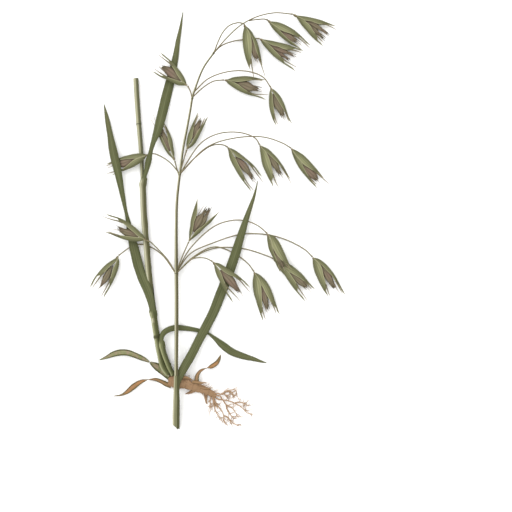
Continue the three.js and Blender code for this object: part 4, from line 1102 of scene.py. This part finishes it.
def lineThrough(places, x):
    # a smooth line through places given as x, y, read at any x
    rows = np.array([[a, b, 0.0] for a, b in places])
    fine = splineAt(rows, np.linspace(0, 1, 24 * len(rows)))
    return np.interp(x, fine[:, 0], fine[:, 1])


def glumeLines(spikelet, word):
    # outer edge and inner edge of one glume as lists of x, y off the middle
    tip, _, tooth, outer, inner = spikelet[word]
    start = spikelet.get("start", 0.2)
    outerLine = [(start - 0.2, 0.1)] + [(x, y) for x, y in zip(glumeStations, outer) if x < tip[0] - 1.5]
    end = (tooth or tip)[0]
    innerLine = [(start - 0.2, 0.0)] + [(x, y) for x, y in zip(glumeStations, inner) if x < end - 1.5]
    outerLine.append((tip[0], tip[1] + 0.1))
    innerLine.append(tooth if tooth else (tip[0], tip[1] - 0.1))
    return outerLine, innerLine


def glumePatches(spikelet, word):
    form = glumeForm
    side = 1 if word == "left" else -1
    above = spikelet["upper"] == word
    tip, split, tooth = spikelet[word][:3]
    outerLine, innerLine = glumeLines(spikelet, word)
    start = spikelet.get("start", 0.2)
    t = np.linspace(0, 1, form["stations"]) ** 1.1
    x = start + t * (tip[0] - start)
    outer = lineThrough(outerLine, x)
    inner = lineThrough(innerLine, x)
    if not above:
        other = "right" if word == "left" else "left"
        gap = inner + lineThrough(glumeLines(spikelet, other)[1], x)
        inner = inner - form["overlap"] * np.clip(1 - gap / 0.9, 0, 1) * smooth(t, 0, 0.08)
    pointed = form["toothWidth"] * (1 - 0.7 * smooth(x, tip[0] - 3.5, tip[0]))
    if tooth:
        inner = inner + (outer - pointed - inner) * smooth(x, split - 1.5, split + 1.5)
    width = np.maximum(outer - inner, 0.12)
    height = form["rise"] * (0.12 + 0.88 * np.sin(np.pi * t**0.6)) * (1 - 0.6 * t**7)
    height = height * (1.0 if above else form["under"]) * np.minimum(1, 0.45 + 0.2 * width)
    v = np.linspace(-1, 1, 2 * form["columns"] + 1)
    theta = v * np.pi / 2
    nerve = form["nerveHeight"] * np.cos(v * form["nerves"] * np.pi) * np.sin(np.pi * t)[:, None] ** 0.5

    def shell(offset):
        grow = nerve * (offset == 0) - offset
        yy = outer[:, None] - width[:, None] + (width[:, None] + grow) * np.cos(theta)[None, :]
        zz = (height[:, None] + grow) * np.sin(theta)[None, :] * (1 - 0.1 * np.abs(v[None, :]) ** 4)
        return np.stack([np.broadcast_to(x[:, None], yy.shape), side * yy, zz], axis=-1)

    rings = np.concatenate([shell(0), shell(form["thickness"])[:, ::-1]], axis=1)
    if side > 0:
        rings = rings[:, ::-1]
    across = 0.5 + 0.5 * np.sign(v) * (0.55 * (1 - np.cos(theta)) + 0.45 * np.abs(v))
    reach = width[:, None] * np.cos(theta)[None, :]
    across, flank, sheath = (
        np.concatenate([values, values[..., ::-1]], axis=-1)
        for values in (across, reach, width[:, None] - reach)
    )
    patches = [patch(toPlant(rings, spikelet), across, x, t, 0, flank=flank, sheath=sheath)]
    if not tooth:
        return patches

    # the inner margin runs out in a tooth of its own, beside the one that ends the glume
    s = np.linspace(0, 1, 18)
    x = split - 3.5 + (tooth[0] - split + 3.5) * s
    y = lineThrough(innerLine, x) + 0.4 * (1 - s)
    lift = np.interp(x, start + t * (tip[0] - start), height) * 0.9
    points = np.stack([x, side * y, lift * (1 - 0.3 * s)], axis=1)
    radii = form["toothRadius"] * (1 - s) ** 0.55 + 0.06
    patches.append(threadPatch(points, radii, spikelet, 1))
    return patches


def makeGlumes(index, spikelet):
    # the knob is where both glumes join their stalk
    form = glumeForm
    patches = glumePatches(spikelet, "left") + glumePatches(spikelet, "right")
    s = np.linspace(0, 1, 8)
    points = np.stack([-0.2 + form["knobLength"] * s, 0 * s, 0 * s], axis=1)
    radii = form["knobRadius"] + form["knobSwell"] * np.sin(np.pi * s * 0.8)
    patches.append(threadPatch(points, radii, spikelet, 2, 12))
    finish = [finishes["glume"], finishes["bristle"], finishes["panicle"]]
    node = f"spikelet_{index:02d}_glumes"
    return makePiece(f"spikelet{index:02d}Glumes", patches, finish, [node])


def floretBody(spikelet, rows, lift):
    form = floretForm
    rows = np.array([[rows[0][0] - 1.2, sum(rows[0][1:]) / 2, sum(rows[0][1:]) / 2], *rows])
    fine = splineAt(rows, np.linspace(0, 1, 40))
    x, low, high = fine.T
    middle = (low + high) / 2
    half = np.maximum((high - low) / 2, 0.06)
    half = half + spikelet.get("tucked", form["tucked"]) * (1 - smooth(np.linspace(0, 1, 40), 0.45, 0.75))
    angle = np.linspace(0, 2 * np.pi, 32, endpoint=False)
    ridge = 1 + form["ridge"] * np.cos(11 * angle)
    yy = middle[:, None] + half[:, None] * np.cos(angle) * ridge
    zz = lift + np.minimum(half, 2.2)[:, None] * form["rise"] * np.sin(angle) * ridge
    rings = np.stack([np.broadcast_to(x[:, None], yy.shape), yy, zz], axis=-1)
    flank = np.broadcast_to(0.5 + 0.5 * np.cos(angle), yy.shape)
    share = (x - x[0]) / (x[-1] - x[0])
    return patch(toPlant(rings, spikelet), np.linspace(0, 1, 32, endpoint=False), x, share, 0, flank=flank)


def makeFlorets(index, spikelet):
    form = floretForm
    draws = np.random.default_rng(500 + index)
    patches = []
    teeth = [[*tooth, 0.6] for tooth in spikelet.get("teeth", [])]
    for rows, lift in zip(spikelet["florets"], form["lifts"]):
        patches.append(floretBody(spikelet, rows, lift))
        last = rows[-1]
        for fork in spikelet.get("forks", form["forks"]):
            x0 = last[0] - draws.uniform(*form["toothLength"])
            low, high = (np.interp(x0, [row[0] for row in rows], [row[k] for row in rows]) for k in (1, 2))
            y0 = (low + high) / 2 + fork * ((high - low) / 2 - 0.4)
            spread = draws.uniform(*form["toothSpread"])
            y1 = (last[1] + last[2]) / 2 + fork * spread + draws.uniform(-0.3, 0.3)
            teeth.append([x0, y0, last[0] + draws.uniform(*form["toothReach"]), y1, lift])
        first = rows[0]
        for _ in range(form["hairs"]):
            s = np.linspace(0, 1, 5)
            turn = draws.uniform(-0.5, 0.5)
            long = draws.uniform(*form["hairLength"])
            x = first[0] + 0.8 + long * s * math.cos(turn)
            y = (first[1] + first[2]) / 2 + long * s * math.sin(turn) * 0.6 + draws.uniform(-0.4, 0.4)
            points = np.stack([x, y, lift + draws.uniform(-0.2, 0.7) + 0.5 * s], axis=1)
            patches.append(threadPatch(points, form["hairRadius"] * (1 - s) + 0.012, spikelet, 1, 4))
    s = np.linspace(0, 1, 14)
    for x0, y0, x1, y1, lift in teeth:
        points = np.stack([x0 + (x1 - x0) * s, y0 + (y1 - y0) * s, lift + 0.4 * (1 - s) + 0.1], axis=1)
        radii = form["toothRadius"] * (1 - s) ** 0.7 + 0.05
        patches.append(threadPatch(points, radii, spikelet, 0, 8, 0.6))
    awns = spikelet.get("awns", [])
    if not awns:
        x, low, high = spikelet["florets"][0][-1]
        reach = draws.uniform(*form["awnReach"])
        awns = [[x - 4, (low + high) / 2, x + reach, low + draws.uniform(-0.6, 0.6)]]
    for x0, y0, x1, y1 in awns:
        bend = draws.uniform(-form["awnBend"], form["awnBend"]) * np.sin(np.pi * s)
        level = 0.9 + 0.7 * np.sin(np.pi * s**0.7)
        points = np.stack([x0 + (x1 - x0) * s, y0 + (y1 - y0) * s + bend, level], axis=1)
        patches.append(threadPatch(points, form["awnRadius"] * (1 - 0.7 * s) + 0.03, spikelet, 1))
    finish = [finishes["floret"], finishes["awn"]]
    node = f"spikelet_{index:02d}_florets"
    return makePiece(f"spikelet{index:02d}Florets", patches, finish, [node])


def makePanicle():
    patches = culmPatches(floweringCulm, True, False, 36, 0.9)
    for spikelet, (hump, way) in zip(spikelets, stalkWays):
        foot, ahead = spikeletAxes(spikelet)[:2]
        end = foot - 0.6 * ahead
        start = way[0][2]
        rows = []
        for i, place in enumerate(way):
            share = i / len(way)
            arched = start + (end[2] - start) * share + hump * 4 * share * (1 - share)
            rows.append([*place[:2], place[2] if len(place) > 2 else arched, stalkForm["radius"]])
        rows.append([*end, stalkForm["radius"]])
        stations = stationsOf(rows, 0.9)
        flare = bump(stations["along"], 0, 1.6) + bump(stations["along"], stations["along"][-1], 1.2)
        patches.append(tube(stations, stalkForm["radius"] + stalkForm["flare"] * flare, 10, 1))
    finish = [finishes["axis"], finishes["panicle"]]
    return makePiece("floweringCulm", patches, finish, ["flowering_culm"])


bladeForm = {
    "spacing": 0.9, "curl": 0.3, "ribHeight": 0.035, "ribs": 10, "midrib": 0.14, "thickness": 0.3,
    "flutter": 0.5, "closed": 168, "collar": 0.4, "joints": [], "swellings": [], "slant": 0.0,
}

leafLow = dict(
    bladeForm, seed=1, mouth=6.0, bladeFrom=0.06,
    sheath={"from": 0.015, "to": 0.302, "radius": 2.25, "turn": (100, 0)}, joints=[0.6],
    line=[
        [-48.6, -75.0, 4.9, 3.2, 0], [-49.3, -69.0, 6.2, 4.4, 0], [-50.6, -62.0, 6.6, 5.8, -6],
        [-53.0, -54.6, 5.8, 7.2, -10], [-56.2, -47.5, 4.6, 7.6, -10], [-59.2, -40.0, 3.4, 7.6, -8],
        [-62.4, -28.0, 2.5, 7.6, 0], [-64.8, -17.5, 2.5, 6.6, 0], [-67.2, -6.5, 2.3, 4.6, 16],
        [-69.5, 4.0, 2.1, 2.8, 30],
        [-72.4, 18.0, 2.8, 3.9, 10], [-75.9, 36.7, 5.9, 6.0, 0], [-79.0, 50.0, 5.4, 6.6, 0],
        [-81.7, 63.0, 3.4, 4.8, 0], [-84.7, 78.0, 1.6, 3.2, 0], [-87.0, 88.5, 0.7, 0.3, 0],
    ],
)
leafHigh = dict(
    bladeForm, seed=2, mouth=6.0, bladeFrom=0.05, collar=0.6,
    sheath={"from": 0.272, "to": 0.65, "radius": 2.25, "turn": (-140, 0)},
    line=[
        [-56.2, 28.0, 3.9, 2.2, 0], [-54.0, 36.7, 6.0, 3.6, 0], [-52.0, 44.0, 8.2, 4.8, 12],
        [-50.4, 50.5, 8.9, 3.6, 30], [-48.6, 58.0, 7.6, 3.8, 10], [-45.2, 68.0, 5.9, 6.6, 0],
        [-42.0, 81.0, 3.4, 7.5, 0], [-39.3, 93.0, 1.6, 7.6, 0], [-35.8, 107.0, 1.3, 6.8, 0],
        [-32.2, 123.0, 1.3, 4.8, 0], [-30.0, 137.0, 1.2, 3.3, 0], [-28.3, 146.0, 0.9, 2.3, 0],
        [-26.2, 159.7, 0.6, 0.3, 0],
    ],
)
leafFlag = dict(
    bladeForm, seed=3, slant=3.4, closed=172, parting=0.9,
    sheath={
        "from": 0.002, "to": 0.2, "turn": 60,
        "radii": [(-160, 2.5), (-140, 2.45), (-128, 1.95), (-117, 1.6)],
    },
    line=[
        [-30.6, -137.0, 6.6, 3.6, 0], [-30.4, -131.0, 7.0, 4.6, 0], [-30.0, -126.0, 7.2, 4.6, 0],
        [-28.9, -121.5, 7.2, 5.6, 0], [-26.6, -116.6, 7.0, 6.4, 0], [-23.4, -110.6, 6.6, 6.9, 0],
        [-20.8, -106.5, 6.0, 7.0, 6], [-15.4, -96.0, 4.4, 6.8, 0], [-9.6, -85.0, 3.4, 7.1, 0],
        [-3.0, -72.0, 2.4, 7.6, 0], [3.0, -57.0, 2.2, 7.7, 0], [8.8, -42.0, 2.9, 7.7, 0],
        [14.0, -27.0, 3.5, 7.3, 0], [18.6, -12.0, 3.6, 5.9, 0], [23.4, 3.0, 3.7, 4.0, 0],
        [28.6, 18.0, 3.4, 2.0, 0], [31.3, 29.2, 3.0, 0.3, 0],
    ],
)
leafArched = dict(
    bladeForm, seed=4, mouth=4.0, bladeFrom=0.08,
    sheath={"from": 0.0, "to": 0.93, "radius": 1.9, "turn": (-40, 0)},
    sheathLine=[
        [-33.4, -119.6, 3.2, 1.6], [-36.0, -114.6, 3.7, 1.75], [-38.9, -107.3, 4.6, 1.75],
        [-41.0, -101.0, 5.4, 1.7], [-42.5, -93.5, 5.6, 1.6],
    ],
    line=[
        [-42.3, -97.0, 6.3, 2.2, 0], [-42.7, -92.0, 6.1, 3.0, 0], [-41.0, -87.6, 5.3, 4.2, 0],
        [-37.3, -84.9, 3.4, 4.5, 0], [-31.5, -83.5, 2.0, 4.4, 0], [-24.0, -84.0, 1.5, 4.0, 0],
        [-15.0, -85.4, 1.2, 3.0, 0], [-7.5, -87.5, 1.2, 1.9, 20], [-2.2, -91.4, 1.6, 3.4, 20],
        [4.5, -97.0, 2.0, 5.4, 0], [11.5, -102.0, 1.9, 5.6, 0], [20.2, -105.4, 1.5, 4.8, 0],
        [27.7, -107.5, 1.0, 3.4, 0], [33.7, -109.4, 0.8, 1.8, 0], [38.2, -110.6, 0.6, 0.3, 0],
    ],
)
leafLeft = dict(
    bladeForm, seed=5, flutter=0.3, thickness=0.26,
    line=[
        [-36.2, -122.6, 1.2, 3.4, 0], [-40.6, -118.4, 0.9, 5.0, 0], [-45.0, -114.3, 0.9, 6.2, 0],
        [-48.0, -112.2, 1.4, 4.6, 18], [-51.0, -110.2, 2.1, 3.1, 66], [-52.0, -109.6, 2.2, 3.1, 112],
        [-54.8, -108.0, 2.3, 3.4, 150], [-58.0, -106.6, 2.5, 3.9, 170], [-63.0, -104.4, 2.8, 4.3, 178],
        [-68.6, -102.6, 3.0, 4.7, 180], [-74.2, -102.4, 2.6, 4.8, 180], [-80.2, -104.0, 1.8, 4.1, 180],
        [-84.7, -106.1, 1.1, 2.5, 180], [-90.7, -108.4, 0.6, 0.3, 180],
    ],
)
leafDry = dict(
    bladeForm, seed=6, flutter=0.35, thickness=0.24, ribHeight=0.05,
    line=[
        [-35.2, -128.4, 1.2, 3.4, 0], [-39.0, -127.0, 1.0, 3.6, 0], [-42.7, -125.0, 1.0, 3.0, 0],
        [-47.0, -123.3, 1.4, 2.6, 24], [-51.7, -123.1, 1.9, 2.4, 80], [-56.5, -124.0, 2.0, 3.0, 146],
        [-60.5, -126.0, 1.8, 3.6, 178], [-64.5, -129.0, 1.5, 4.3, 180], [-69.0, -132.7, 1.1, 3.1, 180],
        [-73.5, -135.2, 0.8, 1.4, 180], [-79.5, -136.1, 0.6, 0.3, 180],
    ],
)
leafStub = dict(
    bladeForm, seed=7, flutter=0.3, thickness=0.24, ribHeight=0.05,
    line=[
        [-15.6, -126.4, 3.6, 3.8, 0], [-15.3, -120.6, 4.0, 3.2, 0], [-13.0, -116.8, 3.2, 2.2, 0],
        [-9.0, -114.8, 2.4, 2.0, 70], [-4.5, -113.4, 2.0, 3.5, 150], [-0.2, -110.4, 1.3, 3.2, 180],
        [1.8, -107.0, 0.9, 2.0, 180], [2.7, -104.2, 0.6, 0.3, 180],
    ],
)

crownForm = {
    "line": [
        [-37.4, -123.6, 3.2, 4.0], [-33.0, -124.2, 5.0, 5.0], [-27.0, -125.6, 4.2, 4.8],
        [-20.0, -127.9, 3.4, 4.6], [-13.5, -129.9, 3.2, 4.4], [-8.0, -132.0, 2.7, 4.0],
        [-3.6, -134.4, 2.3, 3.4], [-0.6, -136.2, 1.1, 2.4],
    ],
    "growths": [
        [[-16.0, -130.8, 1.8, 1.5], [-20.5, -133.2, 1.1, 1.1], [-24.4, -134.4, 0.6, 0.4]],
        [[-8.6, -132.4, 1.8, 1.7], [-8.6, -137.0, 1.3, 1.2], [-8.2, -142.0, 0.6, 0.4]],
        [[-28.0, -122.6, 3.2, 1.8], [-23.0, -122.0, 3.0, 1.2], [-19.0, -123.6, 2.8, 0.4]],
    ],
    "joints": [0.07, 0.2, 0.36, 0.5, 0.66, 0.83], "jointDepth": 0.035, "knobs": 0.5, "wrinkle": 0.03,
    "floor": 0.02,
}
# papery scales that clasp the rhizome: x, y, z and width, from foot to tip
scaleLines = [
    [[-30.0, -121.2, 4.9, 2.6], [-26.0, -121.0, 5.1, 2.4], [-22.4, -121.6, 4.6, 1.6],
     [-19.8, -122.4, 4.0, 0.3]],
    [[-19.0, -124.6, 4.6, 2.6], [-14.4, -125.2, 4.8, 2.4], [-11.0, -125.6, 4.4, 1.6],
     [-8.0, -125.2, 3.8, 0.3]],
    [[-14.4, -128.6, 4.3, 2.4], [-10.2, -129.6, 4.4, 2.2], [-6.6, -130.0, 3.9, 1.4],
     [-3.4, -129.4, 3.0, 0.3]],
]
fringeForm = {"count": 34, "length": (2.5, 7.0), "radius": 0.1}
rootForm = {"foot": 0.58, "tip": 0.22, "waver": 0.3, "twigs": 9, "twigLength": (2.5, 7.0), "twigFoot": 0.18}
rootWays = [
    [[-3.5, -133.8, 2.0], [0.0, -133.7, 2.2], [3.2, -134.6, 1.8], [6.6, -132.4, 1.4],
     [10.5, -131.4, 1.0], [13.5, -131.2, 0.8], [15.2, -134.0, 0.5]],
    [[7.2, -132.4, 1.2], [9.8, -132.4, 0.9], [12.9, -135.2, 0.5]],
    [[3.4, -134.4, 1.6], [5.4, -134.6, 1.0], [7.6, -136.0, 0.5]],
    [[-2.0, -135.2, 2.0], [2.6, -136.2, 2.4], [4.3, -138.6, 2.0], [8.0, -139.4, 1.6],
     [14.2, -141.8, 1.2], [19.0, -145.0, 1.0], [23.6, -149.2, 0.8], [27.8, -150.6, 0.5]],
    [[13.6, -141.6, 1.2], [16.5, -140.8, 1.2], [20.4, -141.5, 0.8], [24.2, -144.0, 0.5]],
    [[-2.4, -136.6, 1.6], [1.0, -138.6, 1.3], [4.4, -139.2, 1.0], [6.8, -142.6, 0.9],
     [10.6, -144.4, 0.8], [13.6, -148.0, 0.7], [15.8, -152.0, 0.5]],
    [[6.6, -142.2, 0.9], [7.9, -147.0, 0.9], [10.5, -150.8, 0.6], [13.6, -153.2, 0.5]],
    [[-3.4, -136.0, 1.2], [-1.5, -141.0, 1.0], [1.6, -145.0, 0.9], [4.6, -149.4, 0.9],
     [5.2, -154.0, 0.7], [5.9, -157.2, 0.5]],
    [[4.9, -151.0, 0.8], [8.2, -152.6, 0.7], [10.0, -155.0, 0.6], [16.5, -159.2, 0.5]],
    [[-3.0, -136.4, 0.9], [-1.0, -141.4, 0.6], [0.6, -145.8, 0.5]],
    [[-3.6, -136.4, 0.9], [-2.2, -143.6, 0.7], [-0.6, -149.0, 0.6], [3.2, -154.4, 0.5]],
    [[-4.8, -136.0, 1.0], [-5.4, -141.0, 0.7], [-4.8, -146.6, 0.5]],
]


def rough(points, amount, scale):
    # push points about by smooth noise
    moved = points.copy()
    flat = moved.reshape(-1, 3)
    for i in range(len(flat)):
        flat[i] += np.array(noise.noise_vector(Vector(flat[i] * scale))) * amount
    return moved


def crownPatches():
    form = crownForm
    rows = [[x, y, height * 0.5, half, height] for x, y, half, height in form["line"]]
    stations = stationsOf([row[:4] for row in rows], 0.45)
    heights = np.interp(stations["share"], np.linspace(0, 1, len(rows)), [row[4] for row in rows])
    sides = 40
    angle = np.linspace(0, 2 * np.pi, sides, endpoint=False)
    joints = sum(bump(stations["share"], at, 0.012) for at in form["joints"])
    shoulders = 0.5 * form["jointDepth"] * np.roll(joints, 3)[:, None]
    ringed = 1 - form["jointDepth"] * joints[:, None] + shoulders
    twist = 3 * wander(stations["along"], 41, 0.12)[:, None]
    ringed = ringed * (1 + form["wrinkle"] * np.cos(9 * angle + twist))
    lateral = stations["size"][:, None] * np.cos(angle) * ringed
    vertical = heights[:, None] * 0.5 * np.sin(angle) * ringed
    level = unit(np.cross(up, stations["tangent"]))
    rings = stations["point"][:, None, :] - level[:, None, :] * lateral[..., None]
    rings[..., 2] = heights[:, None] * 0.5 + vertical
    rings = rough(rings, form["knobs"], 0.45)
    rings[..., 2] = np.maximum(rings[..., 2], form["floor"])
    across = np.linspace(0, 1, sides, endpoint=False)
    patches = [patch(rings, across, stations["along"], stations["share"], 0, sheath=joints)]
    for rows in form["growths"]:
        stations = stationsOf(rows, 0.4)
        grown = tube(stations, stations["size"], 16, 0, 0.6)
        grown["rings"] = rough(grown["rings"], 0.25, 0.9)
        grown["rings"][..., 2] = np.maximum(grown["rings"][..., 2], form["floor"])
        patches.append(grown)
    for number, rows in enumerate(scaleLines):
        stations = stationsOf(rows, 0.5)
        look = dict(bladeForm, seed=60 + number, thickness=0.16, ribHeight=0.06, flutter=0.5, midrib=0.05)
        curl = np.full(len(stations["point"]), 0.8)
        lie = (stations["point"], stations["normal"], stations["side"], stations["size"] / 2)
        patches.append(dict(leafPatch(*lie, curl, look, columns=17), finish=2))
    return patches


def strandPatch(foot, heading, bend, s, long, levels, radii):
    # a thread that leaves its foot at a heading and bends as it goes
    x = foot[0] + long * s * np.cos(heading + bend * s)
    y = foot[1] + long * s * np.sin(heading + bend * s)
    return thread(np.stack([x, y, levels], axis=1), s * long, s, radii, 6, 1)


def fringePatches():
    # torn fibres of old sheaths along the upper side of the rhizome
    draws = np.random.default_rng(31)
    stations = stationsOf([[x, y, height, half] for x, y, half, height in crownForm["line"]], 0.45)
    patches = []
    for _ in range(fringeForm["count"]):
        at = int(len(stations["point"]) * draws.uniform(0.12, 0.98))
        tangent = stations["tangent"][at]
        level = unit(np.cross(up, tangent))
        reach = draws.uniform(0.35, 0.95) * (1 if draws.uniform() < 0.72 else -1)
        foot = stations["point"][at] + level * stations["size"][at] * reach
        foot[2] = stations["point"][at][2] * math.sqrt(max(0.1, 1 - reach**2)) * 0.9
        heading = math.atan2(tangent[1], tangent[0])
        heading += math.copysign(draws.uniform(0.35, 1.1), reach)
        long = draws.uniform(*fringeForm["length"])
        s = np.linspace(0, 1, 9)
        bend = draws.uniform(-0.7, 0.7)
        levels = foot[2] * (1 - s) ** 0.6 + 0.25 + 0.5 * s
        patches.append(strandPatch(foot, heading, bend, s, long, levels, fringeForm["radius"] * (1.6 - s)))
    return patches


def rootPatches():
    form = rootForm
    draws = np.random.default_rng(77)
    patches = []
    for number, way in enumerate(rootWays):
        stations = stationsOf([[x, y, z, 1] for x, y, z in way], 0.5)
        points, along, share = stations["point"], stations["along"], stations["share"]
        for k in (1, 2):
            points[:, k - 1] += form["waver"] * wander(along, number + k * 3.3, 0.5)
        radius = form["foot"] * (1 - share) + form["tip"] * share
        radius = radius * (1 + 0.18 * wander(along, number + 20, 0.9))
        one = tube(stations, radius, 10, 1)
        one["rings"][..., 2] = np.maximum(one["rings"][..., 2], crownForm["floor"])
        patches.append(one)
        for _ in range(form["twigs"]):
            at = draws.integers(len(points) // 4, len(points))
            heading = math.atan2(stations["tangent"][at][1], stations["tangent"][at][0])
            heading += draws.choice([-1, 1]) * draws.uniform(0.4, 1.2)
            long = draws.uniform(*form["twigLength"])
            s = np.linspace(0, 1, 10)
            bend = draws.uniform(-0.8, 0.8)
            levels = points[at][2] * (1 - s) + 0.2 * s
            radii = form["twigFoot"] * (1 - s) + 0.07
            patches.append(strandPatch(points[at], heading, bend, s, long, levels, radii))
    return patches


makeBaseCulm()
sheathedLeaf("leafLow", "leaf_low", leafLow, baseCulm["line"], "lowBlade")
sheathedLeaf("leafHigh", "leaf_high", leafHigh, baseCulm["line"], "blade")
partedLeaf("leafFlag", "leaf_flag", leafFlag, floweringCulm["line"], "flagBlade")
sheathedLeaf("leafArched", "leaf_arched", leafArched, leafArched["sheathLine"], "archedBlade")
makeBlade("leafLeft", "leaf_left", leafLeft, "agedBlade")
makeBlade("leafDry", "leaf_dry", leafDry, "dryBlade")
makeBlade("leafStub", "leaf_stub", leafStub, "dryBlade")
print("leaves and base culm built")

makePanicle()
print("flowering culm built")

for number, spikelet in enumerate(spikelets, 1):
    makeGlumes(number, spikelet)
    makeFlorets(number, spikelet)
print("spikelets built:", len(spikelets))

crownFinish = [finishes["wood"], finishes["rootFibre"], finishes["scale"]]
makePiece("crown", crownPatches() + fringePatches() + rootPatches(), crownFinish, ["crown"])
print("crown and roots built")


# Floor, light and camera

stageLook = {
    "size": 3.0, "paper": linear(252, 252, 251, 1.0), "under": -0.0002,
    "view": (0.0299, -0.0284, 0.930), "lens": 85.0,
    "fill": 1.3, "key": 12.2, "keyPlace": (-0.9, 0.9, 1.3), "keySize": 1.2,
}


def makeFloor():
    half = stageLook["size"] / 2
    mesh = bpy.data.meshes.new("paleFloor")
    turns = ((-1, -1), (1, -1), (1, 1), (-1, 1))
    mesh.from_pydata([(half * x, half * y, stageLook["under"]) for x, y in turns], [], [(0, 1, 2, 3)])
    floor = bpy.data.objects.new("paleFloor", mesh)
    bpy.context.scene.collection.objects.link(floor)
    material = bpy.data.materials.new("palePaper")
    material.use_nodes = True
    shader = material.node_tree.nodes["Principled BSDF"]
    shader.inputs["Base Color"].default_value = stageLook["paper"]
    shader.inputs["Roughness"].default_value = 0.95
    shader.inputs["Specular IOR Level"].default_value = 0.1
    mesh.materials.append(material)


def makeLight(name, place, size, power):
    light = bpy.data.lights.new(name, "AREA")
    light.shape = "DISK"
    light.size = size
    light.energy = power
    lamp = bpy.data.objects.new(name, light)
    lamp.location = place
    lamp.rotation_euler = (Vector((0, 0, 0)) - Vector(place)).to_track_quat("-Z", "Y").to_euler()
    bpy.context.scene.collection.objects.link(lamp)


def makeView():
    world = bpy.data.worlds.new("softRoom")
    world.use_nodes = True
    world.node_tree.nodes["Background"].inputs["Color"].default_value = (1.0, 1.0, 1.0, 1.0)
    world.node_tree.nodes["Background"].inputs["Strength"].default_value = stageLook["fill"]
    bpy.context.scene.world = world
    makeLight("windowLight", stageLook["keyPlace"], stageLook["keySize"], stageLook["key"])
    camera = bpy.data.cameras.new("viewFromAbove")
    camera.lens = stageLook["lens"]
    camera.sensor_width = 36.0
    eye = bpy.data.objects.new("viewFromAbove", camera)
    eye.location = stageLook["view"]
    bpy.context.scene.collection.objects.link(eye)
    bpy.context.scene.camera = eye
    bpy.context.scene.view_settings.view_transform = "Standard"


makeFloor()
makeView()
print("stage, light and camera set")
